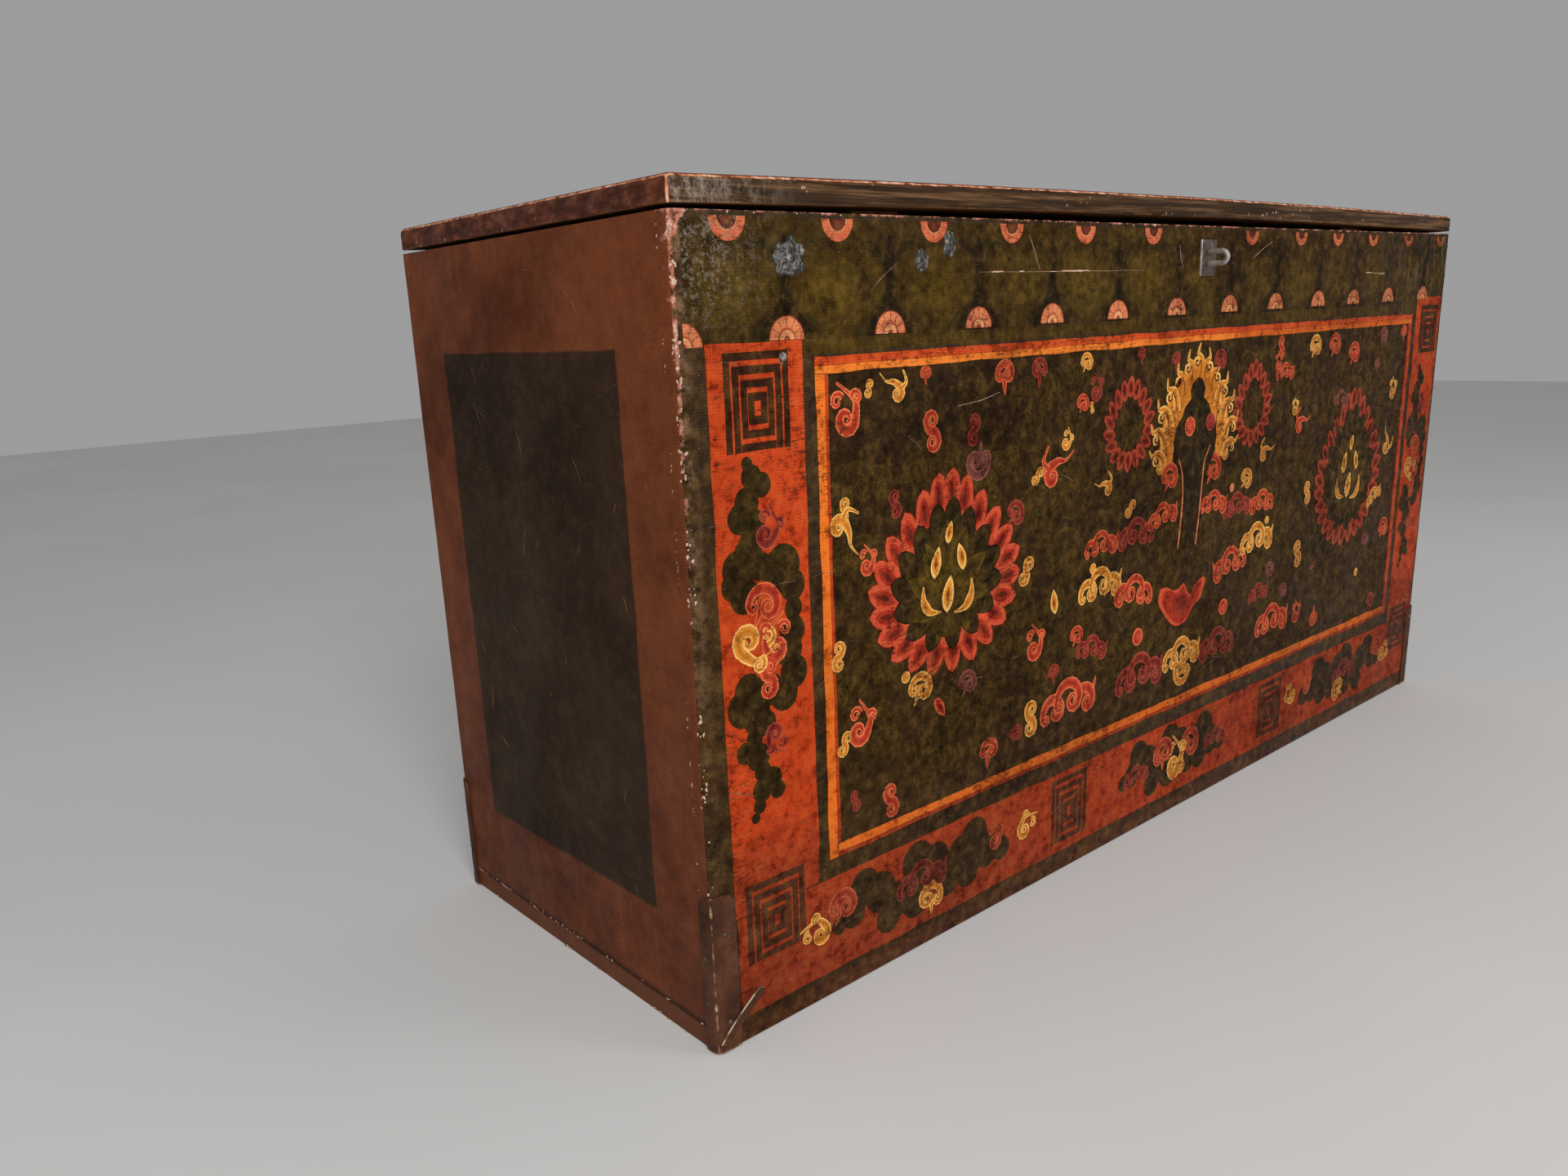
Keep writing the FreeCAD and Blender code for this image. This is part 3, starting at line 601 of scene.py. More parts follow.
class Film:
    """Paint shapes gathered into one mesh. They lie in XZ, face -Y and are closed behind."""

    def __init__(self):
        self.corners = []
        self.faces = []
        self.tones = []
        self.pigments = []

    def point(self, x, z, lift, tone, name):
        self.corners.append((x, -lift, z))
        self.tones.append(tone)
        self.pigments.append(PIGMENTS.index(name))
        return len(self.corners) - 1

    def wall(self, top, foot):
        for i in range(len(top)):
            self.faces.append((top[i - 1], foot[i - 1], foot[i], top[i]))

    def fan(self, outline, core, lift, tones, name):
        """Flat shape round a core point, with its outline anticlockwise and tones (rim, core)."""
        top = [self.point(x, z, lift, tones[0], name) for x, z in outline]
        foot = [self.point(x, z, 0.0, tones[0], name) for x, z in outline]
        peak = self.point(core[0], core[1], lift, tones[1], name)
        under = self.point(core[0], core[1], 0.0, tones[1], name)
        for i in range(len(top)):
            self.faces.append((peak, top[i - 1], top[i]))
            self.faces.append((under, foot[i], foot[i - 1]))
        self.wall(top, foot)

    def disc(self, x, z, radius, lift, tones, name, sides=18, squash=1.0):
        turns = [2 * pi * i / sides for i in range(sides)]
        outline = [(x + radius * cos(a), z + radius * squash * sin(a)) for a in turns]
        self.fan(outline, (x, z), lift, tones, name)

    def stroke(self, path, widths, lift, tones, name, climb=0.0):
        """Brush stroke along a path with half widths from end to end, and tones (edge, middle). One that
        crosses itself climbs on its way, to lie over its own start."""
        lifts = [lift + climb * i / (len(path) - 1) for i in range(len(path))]
        left, right = [], []
        for i, (x, z) in enumerate(path):
            x0, z0 = path[max(i - 1, 0)]
            x1, z1 = path[min(i + 1, len(path) - 1)]
            run = hypot(x1 - x0, z1 - z0)
            nx, nz = -(z1 - z0) / run, (x1 - x0) / run
            left.append((x + nx * widths[i], z + nz * widths[i]))
            right.append((x - nx * widths[i], z - nz * widths[i]))
        top_left = [self.point(x, z, height, tones[0], name) for (x, z), height in zip(left, lifts)]
        top_right = [self.point(x, z, height, tones[0], name) for (x, z), height in zip(right, lifts)]
        middle = [self.point(x, z, height, tones[1], name) for (x, z), height in zip(path, lifts)]
        foot_left = [self.point(x, z, 0.0, tones[0], name) for x, z in left]
        foot_right = [self.point(x, z, 0.0, tones[0], name) for x, z in right]
        for i in range(len(path) - 1):
            j = i + 1
            self.faces.append((top_right[i], top_right[j], middle[j], middle[i]))
            self.faces.append((middle[i], middle[j], top_left[j], top_left[i]))
            self.faces.append((foot_left[i], foot_left[j], foot_right[j], foot_right[i]))
            self.faces.append((top_right[i], foot_right[i], foot_right[j], top_right[j]))
            self.faces.append((top_left[j], foot_left[j], foot_left[i], top_left[i]))
        self.faces.append((top_left[0], foot_left[0], foot_right[0], top_right[0], middle[0]))
        self.faces.append((top_right[-1], foot_right[-1], foot_left[-1], top_left[-1], middle[-1]))

    def panel(self, x0, x1, z0, z1, lift, tones, name, cell, wobble):
        """Rectangle laid by hand, with edges that waver and tones (foot, head)."""
        columns = max(int(ceil((x1 - x0) / cell)), 1)
        rows = max(int(ceil((z1 - z0) / cell)), 1)
        grid = []
        for k in range(rows + 1):
            line = []
            for i in range(columns + 1):
                x = x0 + (x1 - x0) * i / columns
                z = z0 + (z1 - z0) * k / rows
                if i in (0, columns):
                    x += wobble * rough(x * 3, 0.3, z, 30.0)
                if k in (0, rows):
                    z += wobble * rough(x, 0.7, z * 3, 30.0)
                tone = tones[0] + (tones[1] - tones[0]) * k / rows
                line.append(self.point(x, z, lift, tone, name))
            grid.append(line)
        feet = {}
        border = round_grid(grid)
        for index in border:
            x, _, z = self.corners[index]
            feet[index] = self.point(x, z, 0.0, self.tones[index], name)
        for k in range(rows):
            for i in range(columns):
                self.faces.append((grid[k][i], grid[k][i + 1], grid[k + 1][i + 1], grid[k + 1][i]))
        self.wall(border, [feet[index] for index in border])
        self.faces.append(tuple(feet[index] for index in reversed(border)))

    def mirrored(self):
        """The same shapes turned left for right."""
        other = Film()
        other.corners = [(-x, y, z) for x, y, z in self.corners]
        other.faces = [tuple(reversed(face)) for face in self.faces]
        other.tones = list(self.tones)
        other.pigments = list(self.pigments)
        return other


def spiral(x, z, radius, start, turns, steps=16):
    """Points of a curl that winds in from a radius to its eye."""
    points = []
    for i in range(steps + 1):
        share = i / steps
        angle = start + 2 * pi * turns * share
        reach = radius * (1 - 0.82 * share)
        points.append((x + reach * cos(angle), z + reach * sin(angle)))
    return points


def taper(count, root, tip, swell=0.0):
    """Half widths from root to tip, with a swell in the middle."""
    shares = [i / (count - 1) for i in range(count)]
    return [root + (tip - root) * share + swell * sin(pi * share) ** 2 for share in shares]


def curve(points, steps=14):
    """Smooth path through a few given points."""
    path = []
    padded = [points[0]] + list(points) + [points[-1]]
    spans = len(points) - 1
    count = max(steps // spans, 2)

    def between(p, q, r, s, t):
        bend = (2 * p - 5 * q + 4 * r - s) * t ** 2 + (3 * q - p - 3 * r + s) * t ** 3
        return 0.5 * (2 * q + (r - p) * t + bend)

    for i in range(spans):
        for step in range(count):
            path.append(tuple(between(*places, step / count) for places in zip(*padded[i:i + 4])))
    path.append(tuple(points[-1]))
    return path


# Painted motifs, in units of half their size. Their lifts count in a depth that is the same for all of them

MOTIF_DEPTH = 10 * MM
RIM_LIFT = 0.006
BODY_LIFT = 0.010
LINE_LIFT = 0.014
CHIP_LIFT = 0.012
HAIR_LIFT = 0.026
LAYER = 0.001
OUTLINE = 0.055


def motif_scroll(film, path, root, tip, swell, layer):
    """Scroll laid with one stroke of the brush: a pale outline, and a body that darkens along its middle."""
    lift = RIM_LIFT + 3 * layer * LAYER
    widths = taper(len(path), root, tip, swell)
    film.stroke(path, widths, lift, (1.0, 0.85), "coral", LAYER)
    inner = [max(width - OUTLINE, 0.45 * width) for width in widths]
    film.stroke(path, inner, lift + 1.5 * LAYER, (0.62, 0.34), "coral", LAYER)


def arch(half, tall, curl, small=0.62):
    """Path of an arch that stands on two curls, a large and a small one, which wind inwards under it."""
    right = spiral(half - curl, 0.0, curl, 0.0, -1.25, 11)
    over = [(half * cos(pi * i / 10), tall * sin(pi * i / 10)) for i in range(9, 0, -1)]
    left = spiral(curl * small - half, 0.0, curl * small, pi, 0.9, 8)
    return left[::-1] + over + right


def set_at(path, x, z, size=1.0, turn=0.0):
    """A path brought to a place, sized and turned."""
    c, s = size * cos(turn), size * sin(turn)
    return [(x + px * c - pz * s, z + px * s + pz * c) for px, pz in path]


def scrolls(*strokes):
    """A motif of scrolls (path, root, tip, swell), each laid over the one before it."""
    film = Film()
    for layer, (path, root, tip, swell) in enumerate(strokes):
        motif_scroll(film, path, root, tip, swell, layer)
    return film


def motif_curl():
    head = spiral(-0.1, -0.38, 0.46, 0.0, -1.3, 14)[::-1]
    sweep = curve([(0.36, -0.38), (0.46, 0.1), (0.16, 0.48), (-0.3, 0.92)], 9)
    left, right = spiral(-0.4, 0.3, 0.3, 0.3, 1.1, 10), spiral(0.52, 0.22, 0.26, 2.8, -1.0, 10)
    return scrolls((head + sweep[1:], 0.07, 0.05, 0.17), (left, 0.13, 0.05, 0.0), (right, 0.13, 0.05, 0.0))


def motif_twin():
    top = spiral(-0.04, 0.48, 0.42, pi, -1.2, 11)[::-1]
    waist = curve([(-0.46, 0.48), (-0.24, 0.06), (0.2, -0.1), (0.4, -0.5)], 9)
    foot = spiral(-0.02, -0.5, 0.42, 0.0, -1.2, 11)
    return scrolls((top + waist[1:-1] + foot, 0.07, 0.07, 0.18))


def motif_crown():
    tail = curve([(-0.1, 0.2), (-0.22, -0.4), (-0.5, -0.95)])
    head = set_at(arch(0.82, 0.82, 0.5), 0.0, -0.12, 1.0, -0.15)
    return scrolls((tail, 0.3, 0.04, 0.0), (head, 0.07, 0.07, 0.2))


def motif_bank():
    tail = curve([(1.0, 0.0), (1.5, 0.15), (1.75, 0.65)])
    places = ((-1.02, -0.22, 0.62, 0.25), (0.98, -0.18, 0.6, -0.2), (-0.05, 0.06, 0.8, 0.05))
    arches = [(set_at(arch(0.95, 0.95, 0.54), *place), 0.06, 0.06, 0.17) for place in places]
    return scrolls((tail, 0.22, 0.04, 0.0), *arches)


def motif_heart():
    tail = curve([(0.0, 0.3), (0.0, -0.4), (0.06, -0.98)])
    head = set_at(arch(0.68, 0.62, 0.42), 0.0, 0.2, 1.0, 0.2)
    wisp = curve([(0.3, 0.62), (0.5, 0.8), (0.42, 1.02)])
    return scrolls((tail, 0.34, 0.03, 0.0), (head, 0.07, 0.07, 0.18), (wisp, 0.12, 0.03, 0.0))


def motif_streamer():
    head = spiral(0.4, -0.34, 0.4, pi / 2, -1.2, 12)[::-1]
    tail = curve([(0.4, 0.06), (-0.1, 0.12), (-0.6, 0.0), (-1.2, 0.25)], 9)
    wisp = curve([(0.62, 0.0), (0.86, 0.42), (0.42, 0.92)])
    return scrolls((head + tail[1:], 0.07, 0.03, 0.2), (wisp, 0.17, 0.05, 0.0))


def motif_sickle():
    """Side petal of a lotus, bent outwards from its foot on the right."""
    return scrolls((curve([(0.8, -0.78), (-0.1, -0.62), (-0.6, 0.0), (-0.62, 0.85)], 12), 0.05, 0.07, 0.24))


def leaf_outline(length, width, lean=0.0, fullness=0.8, steps=9):
    """Pointed leaf, anticlockwise from its foot."""
    right, left = [], []
    for i in range(steps + 1):
        share = i / steps
        z = length * (2 * share - 1)
        half = width * sin(pi * share ** 0.85) ** fullness if 0 < share < 1 else 0.0
        sway = lean * share ** 2
        right.append((half + sway, z))
        left.append((-half + sway, z))
    return right + left[-2:0:-1]


def motif_leaf():
    film = Film()
    film.fan(leaf_outline(1.0, 0.46, 0.2), (0.05, -0.1), RIM_LIFT, (1.0, 0.8), "coral")
    film.fan(leaf_outline(0.78, 0.32, 0.15), (0.04, -0.1), BODY_LIFT, (0.6, 0.4), "coral")
    film.fan(leaf_outline(0.42, 0.13, 0.06), (0.0, -0.1), LINE_LIFT, (0.2, 0.05), "coral")
    return film


def motif_petal():
    """Lotus petal of the wreaths: bright rounded rim that comes to a tip, deep red in its hollow."""
    film = Film()
    film.fan(leaf_outline(1.0, 0.6, 0.1, 0.5), (0.0, -0.1), RIM_LIFT * 0.6, (0.04, 0.3), "coral")
    film.fan(leaf_outline(0.94, 0.53, 0.1, 0.52), (0.0, -0.1), RIM_LIFT, (0.66, 0.5), "coral")
    film.fan(leaf_outline(0.62, 0.3, 0.06, 0.6), (0.0, -0.15), BODY_LIFT, (0.36, 0.12), "coral")
    film.fan(leaf_outline(0.4, 0.12, 0.03), (0.0, -0.1), LINE_LIFT, (0.1, 0.0), "coral")
    return film


def motif_pearl():
    film = Film()
    film.disc(0.0, 0.0, 0.95, RIM_LIFT, (0.9, 0.8), "coral")
    film.disc(0.0, 0.0, 0.74, BODY_LIFT, (0.5, 0.72), "coral")
    return film


def motif_tongue():
    """Flame tongue: a hooked lick with a dark split behind its curl."""
    lick = curve([(0.0, -0.9), (0.28, -0.3), (0.22, 0.2), (-0.12, 0.52), (0.1, 1.0)])
    film = scrolls((lick, 0.36, 0.04, 0.0))
    film.disc(-0.26, 0.08, 0.26, BODY_LIFT, (1.0, 0.7), "coral", 14)
    path = spiral(-0.2, 0.06, 0.24, 0.4, -1.0, 12)
    film.stroke(path, taper(len(path), 0.05, 0.07), LINE_LIFT, (0.0, 0.0), "coral")
    split = curve([(0.02, -0.8), (0.2, -0.3), (0.14, 0.15)])
    film.stroke(split, taper(len(split), 0.03, 0.05), LINE_LIFT, (0.05, 0.05), "coral")
    return film


def part_round(film, radius, lift, tones, sweep=pi, sides=16):
    """Half of a disc that stands on its middle, or less of it."""
    outline = [(radius * cos(sweep * i / sides), radius * sin(sweep * i / sides)) for i in range(sides + 1)]
    if sweep < pi:
        outline.append((0.0, 0.0))
    core = (0.3 * radius * cos(sweep / 2), 0.3 * radius * sin(sweep / 2))
    film.fan(outline, core, lift, tones, "rosette")


def motif_rosette(sweep=pi):
    """Half rosette, or less of it: a petalled disc round a small heart, outlined in dark."""
    film = Film()
    petals = round(6 * sweep / pi)
    part_round(film, 1.07, RIM_LIFT * 0.6, (0.05, 0.05), sweep)
    part_round(film, 1.0, RIM_LIFT, (0.62, 0.52), sweep)
    for i in range(petals):
        angle = sweep * (i + 0.5) / petals
        film.disc(0.74 * cos(angle), 0.74 * sin(angle), 0.19, BODY_LIFT, (0.72, 0.62), "rosette", 10)
        edge = sweep * i / petals
        ray = [(r * cos(edge), r * sin(edge)) for r in (0.55, 0.76, 0.97)]
        film.stroke(ray, [0.022] * 3, LINE_LIFT, (0.3, 0.3), "rosette")
    part_round(film, 0.5, BODY_LIFT * 1.2, (0.3, 0.3), sweep)
    part_round(film, 0.42, LINE_LIFT, (0.95, 0.7), sweep)
    part_round(film, 0.18, LINE_LIFT * 1.25, (0.2, 0.3), sweep, 10)
    return film


def motif_crescent():
    """Half rosette with a dark heart, as along the rim."""
    film = Film()
    part_round(film, 1.0, RIM_LIFT, (0.52, 0.5))
    for i in range(6):
        angle = pi * (i + 0.5) / 6
        film.disc(0.8 * cos(angle), 0.8 * sin(angle), 0.15, BODY_LIFT, (0.6, 0.5), "rosette", 10)
    part_round(film, 0.62, BODY_LIFT * 1.1, (0.7, 0.3))
    part_round(film, 0.52, LINE_LIFT, (0.0, 0.1))
    return film


def flake(seed):
    """Break in the paint: a thin ragged chip."""
    chance = random.Random(seed)
    film = Film()
    sides = 9
    outline = []
    for i in range(sides):
        angle = 2 * pi * i / sides
        reach = chance.uniform(0.5, 1.0)
        outline.append((0.55 * reach * cos(angle), reach * sin(angle)))
    film.fan(outline, (0.0, 0.0), CHIP_LIFT, (1.0, 1.0), "rosette")
    return film


def motif_scratch():
    film = Film()
    path = curve([(-1.0, 0.0), (-0.3, 0.05), (0.4, 0.02), (1.0, -0.06)], 9)
    film.stroke(path, taper(len(path), 0.004, 0.004, 0.014), HAIR_LIFT, (0.5, 0.8), "coral")
    return film


MOTIFS = {
    "curl": motif_curl(), "twin": motif_twin(), "crown": motif_crown(), "bank": motif_bank(),
    "heart": motif_heart(), "streamer": motif_streamer(), "leaf": motif_leaf(), "petal": motif_petal(),
    "pearl": motif_pearl(), "tongue": motif_tongue(), "rosette": motif_rosette(),
    "rosette_side": motif_rosette(pi / 2), "crescent": motif_crescent(), "sickle": motif_sickle(),
    "scratch": motif_scratch(), "flake_a": flake(1), "flake_b": flake(2), "flake_c": flake(3),
}
FLAKES = ("flake_a", "flake_b", "flake_c")
for kind in ("curl", "twin", "crown", "bank", "heart", "streamer", "leaf", "tongue", "sickle"):
    MOTIFS[kind + "_m"] = MOTIFS[kind].mirrored()
MOTIF_ORDER = sorted(MOTIFS)


def motif_box():
    """The motifs as plain meshes in a collection of their own, in the order of their names."""
    box = bpy.data.collections.new("motifs")
    bpy.context.scene.collection.children.link(box)
    for index, kind in enumerate(MOTIF_ORDER):
        film = MOTIFS[kind]
        stamp = new_mesh_object("motif_%02d_%s" % (index, kind), film.corners, film.faces)
        set_points(stamp, "tone", "FLOAT", film.tones)
        bpy.context.scene.collection.objects.unlink(stamp)
        box.objects.link(stamp)
    return box


def motif_tree():
    """Geometry nodes that stamp the motifs on points, each with its kind, turn and size."""
    tree = bpy.data.node_groups.new("stamped motifs", "GeometryNodeTree")
    sockets = (("Places", "Geometry"), ("Motifs", "Collection"), ("Depth", "Float"), ("Finish", "Material"))
    for name, kind in sockets:
        tree.interface.new_socket(name, in_out="INPUT", socket_type="NodeSocket" + kind)
    tree.interface.new_socket("Paint", in_out="OUTPUT", socket_type="NodeSocketGeometry")
    start = tree.nodes.new("NodeGroupInput").outputs

    def stored(name, kind):
        return add_node(tree, "GeometryNodeInputNamedAttribute", {"Name": name}, "Attribute", data_type=kind)

    stamps = add_node(tree, "GeometryNodeCollectionInfo", {
        "Collection": start["Motifs"], "Separate Children": True, "Reset Children": True,
    })
    size = stored("size", "FLOAT")
    pressed = add_node(tree, "GeometryNodeInstanceOnPoints", {
        "Points": start["Places"], "Instance": stamps, "Pick Instance": True,
        "Instance Index": stored("kind", "INT"),
        "Rotation": add_node(tree, "FunctionNodeEulerToRotation", {0: stored("turn", "FLOAT_VECTOR")}),
        "Scale": add_node(tree, "ShaderNodeCombineXYZ", {"X": size, "Y": start["Depth"], "Z": size}),
    })
    loose = add_node(tree, "GeometryNodeRealizeInstances", {0: pressed})
    dressed = add_node(tree, "GeometryNodeSetMaterial", {"Geometry": loose, "Material": start["Finish"]})
    feed(tree, tree.nodes.new("NodeGroupOutput"), {0: dressed})
    return tree


motif_collection = motif_box()
stamping = motif_tree()


def stamped(name, spots, finish):
    """One mesh of motifs from spots (kind, place, turn, size, pigment), all on one body."""
    places = new_mesh_object(name + "_places", [spot[1] for spot in spots], [])
    set_points(places, "kind", "INT", [MOTIF_ORDER.index(spot[0]) for spot in spots])
    set_points(places, "turn", "FLOAT_VECTOR", [spot[2] for spot in spots])
    set_points(places, "size", "FLOAT", [spot[3] for spot in spots])
    set_points(places, "hue", "FLOAT", [float(PIGMENTS.index(spot[4])) for spot in spots])
    stamper = places.modifiers.new("stamps", "NODES")
    stamper.node_group = stamping
    values = {"Motifs": motif_collection, "Depth": MOTIF_DEPTH, "Finish": finish}
    for item in stamping.interface.items_tree:
        if item.in_out == "INPUT" and item.name in values:
            stamper[item.identifier] = values[item.name]
    bpy.context.view_layer.update()
    graph = bpy.context.evaluated_depsgraph_get()
    mesh = bpy.data.meshes.new_from_object(places.evaluated_get(graph))
    mesh.name = name
    bpy.data.objects.remove(places)
    piece = bpy.data.objects.new(name, mesh)
    bpy.context.scene.collection.objects.link(piece)
    return piece


def store_pigments(piece, hues, tones):
    """Gives paint on the front its colours, from the pigment's number and the tone of each point."""
    colours = []
    for corner, hue, tone in zip(piece.data.vertices, hues, tones):
        colours.append(pigment_colour(PIGMENTS[hue], tone, corner.co.x, corner.co.z))
    set_points(piece, "pigment", "FLOAT_COLOR", colours)
    settle(piece, "carcass", "front_paint")


def coloured(piece):
    """Turns the stored hue and tone of stamped paint into its colours."""
    stored = piece.data.attributes
    hues = [int(round(item.value)) for item in stored["hue"].data]
    store_pigments(piece, hues, [item.value for item in stored["tone"].data])


def painted(name, film):
    """A hand-built film as a piece on the front, coloured by its own pigments."""
    piece = new_mesh_object(name, [(x, -half_deep + y, z) for x, y, z in film.corners], film.faces)
    piece.data.materials.append(pigment)
    store_pigments(piece, film.pigments, film.tones)


# The painted front, from the ground up

FIELD_LIFT = 0.02 * MM
LAPPET_LIFT = 0.05 * MM
BAND_LIFT = 0.08 * MM
STEM_LIFT = 0.09 * MM
STEM_STEP = 0.02 * MM
FRET_LIFT = 0.15 * MM
SCROLL_LIFT = 0.16 * MM
CLOUD_LIFT = 0.2 * MM
CLOUD_STEP = 0.004 * MM
FRAME_LIFT = 0.24 * MM
HALO_LIFT = 0.3 * MM
BOWL_LIFT = 0.3 * MM
BOWL_STEP = 0.02 * MM
SCRATCH_LIFT = 0.34 * MM
KEYHOLE_LIFT = 0.37 * MM
JEWEL_LIFT = 0.39 * MM
JEWEL_STEM_LIFT = 0.42 * MM
OVER_LOTUS = 0.45 * MM
LOTUS_LIFT = 0.5 * MM
EDGE_WOBBLE = 2.2 * GRID
PANEL_CELL = 18 * GRID

LEFT_COLUMN = (38, 179)
RIGHT_COLUMN = (1913, 2033)
COLUMN_FOOT = 827
RED_BAND = (
    (*LEFT_COLUMN, 139, COLUMN_FOOT, (0.42, 0.58), "vermilion"),
    (*RIGHT_COLUMN, 127, COLUMN_FOOT, (0.4, 0.52), "vermilion"),
    (40, 2031, 829, 965, (0.36, 0.45), "vermilion"),
)
DARK_FIELD = ((216, 1876, 178, 786, (0.6, 0.4), "field"),)
INNER_FRAME = (
    (198, 1895, 160, 169, (0.75, 0.6), "vermilion"),
    (198, 1180, 169.5, 179, (0.62, 0.5), "amber"),
    (1180, 1895, 169.5, 179, (0.3, 0.12), "amber"),
    (198, 213, 180, 803, (0.3, 0.45), "amber"),
    (213.5, 218, 180, 782, (0.3, 0.4), "vermilion"),
    (214, 1880, 784, 797, (0.3, 0.36), "amber"),
    (214, 1880, 797.5, 803, (0.35, 0.35), "vermilion"),
    (1881, 1895, 180, 803, (0.5, 0.62), "vermilion"),
    (1873, 1880, 180, 783, (0.2, 0.3), "maroon"),
)
VALANCE = ((38, 2040, 6, 156, (0.55, 0.3), "olive"), (14, 37.5, 8, 141, (0.4, 0.3), "olive"))
LAPPETS = (77, 241, 408, 575, 736, 898, 1060, 1222, 1382, 1535, 1687, 1849, 2000)
LAPPET_V = 86
LAPPET_HALF_WIDE = 64
LAPPET_HALF_TALL = 50
LAPPET_MARGIN = 8
STEM_TOP = 22
STEM_RUN = 7.3
STEM_HALVES = (1, 4, 7, 9, 9, 8, 7, 7, 7, 8, 10, 14, 21, 30, 37, 41, 42)
STEM_COATS = ((1.5, 0.0, (0.75, 0.2)), (1.0, STEM_STEP, (0.25, 0.0)))
STEM_ARM = ((3, 66), (14, 46), (36, 30), (58, 40))
ROSETTE_SIZE = 26
TOP_ROSETTE_V = 6
LOW_ROSETTE_V = 139
TOP_ROSETTES = (77, 241, 408, 563, 730, 905, 1205, 1380, 1525, 1675, 1840, 2000)
LOW_ROSETTES = (157, 327, 495, 655, 817, 980, 1143, 1301, 1462, 1608, 1765, 1933)


def grid_path(points):
    return [(across(u), upright(v)) for u, v in points]


def front_spot(kind, u, v, lift, turn, size, name):
    """A motif on the front: its place in grid squares, its lift off the cloth, its turn and its size."""
    return (kind, (across(u), -half_deep - lift, upright(v)), (0.0, turn, 0.0), size * GRID, name)


def lay_panels(film, strips, lift):
    """Rectangles (left, right, top, foot, tones, pigment) in grid squares, laid by hand."""
    for left, right, top, foot, tones, name in strips:
        sides = across(left), across(right), upright(foot), upright(top)
        film.panel(*sides, lift, tones, name, PANEL_CELL, EDGE_WOBBLE)


def plain_panels(piece_name, strips, lift):
    film = Film()
    lay_panels(film, strips, lift)
    painted(piece_name, film)


def valance():
    """Rounded olive lappets under the rim, parted by dark stems that flare round the lower rosettes."""
    film = Film()
    lay_panels(film, VALANCE, FIELD_LIFT)
    for u in LAPPETS:
        reach = min(LAPPET_HALF_WIDE, u - LAPPET_MARGIN, GRID_LONG - LAPPET_MARGIN - u)
        squash = LAPPET_HALF_TALL / reach
        film.disc(across(u), upright(LAPPET_V), reach * GRID, LAPPET_LIFT, (0.46, 0.9), "olive", 30, squash)
    for u in LOW_ROSETTES:
        halves = STEM_HALVES if u < RIGHT_COLUMN[0] else STEM_HALVES[:14]
        path = grid_path([(u, STEM_TOP + STEM_RUN * i) for i in range(len(halves))])
        for spread, step, tones in STEM_COATS:
            film.stroke(path, [spread * half * GRID for half in halves], STEM_LIFT + step, tones, "leaf")
        for side in (-1, 1):
            arm = curve(grid_path([(u + side * du, v) for du, v in STEM_ARM]), 15)
            widths = taper(len(arm), 6 * GRID, 1 * GRID, 4 * GRID)
            film.stroke(arm, widths, STEM_LIFT - STEM_STEP, (0.9, 0.3), "leaf")
    painted("painted_valance", film)


def rosette_rows():
    """Half rosettes that hang from the rim and stand along the foot of the valance."""
    spots = []
    for index, u in enumerate(TOP_ROSETTES):
        size = ROSETTE_SIZE - 6 * u / GRID_LONG
        spots.append(front_spot("crescent", u, TOP_ROSETTE_V, CLOUD_STEP * index, pi, size, "rosette"))
    lift = STEM_LIFT + STEM_STEP
    for u in LOW_ROSETTES:
        v = LOW_ROSETTE_V - 8 * u / GRID_LONG
        spots.append(front_spot("rosette", u, v, lift, 0.0, ROSETTE_SIZE, "rosette"))
    spots.append(front_spot("rosette_side", 10, 141, lift, 0.0, 25, "rosette"))
    coloured(stamped("painted_rosettes", spots, pigment))


COLUMN_LOBES = (
    (0.36, 272, 8), (0.4, 288, 15), (0.5, 298, 15), (0.34, 316, 18), (0.26, 334, 18), (0.38, 342, 20),
    (0.33, 362, 13), (0.22, 392, 24), (0.33, 378, 22), (0.16, 410, 18), (0.27, 424, 22),
    (0.44, 392, 18), (0.7, 398, 27), (0.8, 424, 20), (0.62, 408, 22), (0.8, 452, 14), (0.78, 480, 20),
    (0.73, 502, 22), (0.78, 532, 22), (0.66, 556, 22), (0.52, 546, 20), (0.27, 540, 22), (0.2, 560, 24),
    (0.34, 574, 22), (0.44, 586, 16), (0.2, 616, 14), (0.34, 626, 18), (0.48, 660, 16), (0.37, 670, 16),
    (0.33, 690, 10), (0.28, 704, 7), (0.54, 676, 12), (0.31, 600, 13), (0.38, 646, 13),
)
COLUMN_CLOUDS = (
    ("curl", 0.57, 348, 28, 20, "maroon"), ("crown", 0.46, 438, 27, 0, "coral"),
    ("curl_m", 0.58, 482, 34, 10, "coral"), ("curl", 0.38, 488, 40, 110, "gold"),
    ("twin", 0.5, 530, 27, 10, "coral"), ("curl", 0.54, 612, 24, 160, "maroon"),
)
BAND_LOBES = (
    (-120, -28, 28), (-92, -10, 30), (-140, 2, 22), (-60, 14, 28), (-78, 34, 24), (-28, 30, 26),
    (-22, -28, 32), (12, -16, 30), (38, 22, 26), (64, -8, 30), (92, -26, 30), (78, 24, 26),
    (118, 6, 28), (150, 14, 20), (-165, 10, 14),
)
BAND_CLOUDS = (
    ("curl", -205, 0, 30, -60, "gold"), ("crown", -160, -18, 26, 0, "coral"),
    ("bank", -14, 2, 30, 0, "maroon"), ("crown_m", 4, 36, 26, 30, "gold"),
    ("curl", 138, -12, 24, 0, "coral"), ("curl_m", 208, -6, 28, 50, "gold"),
)
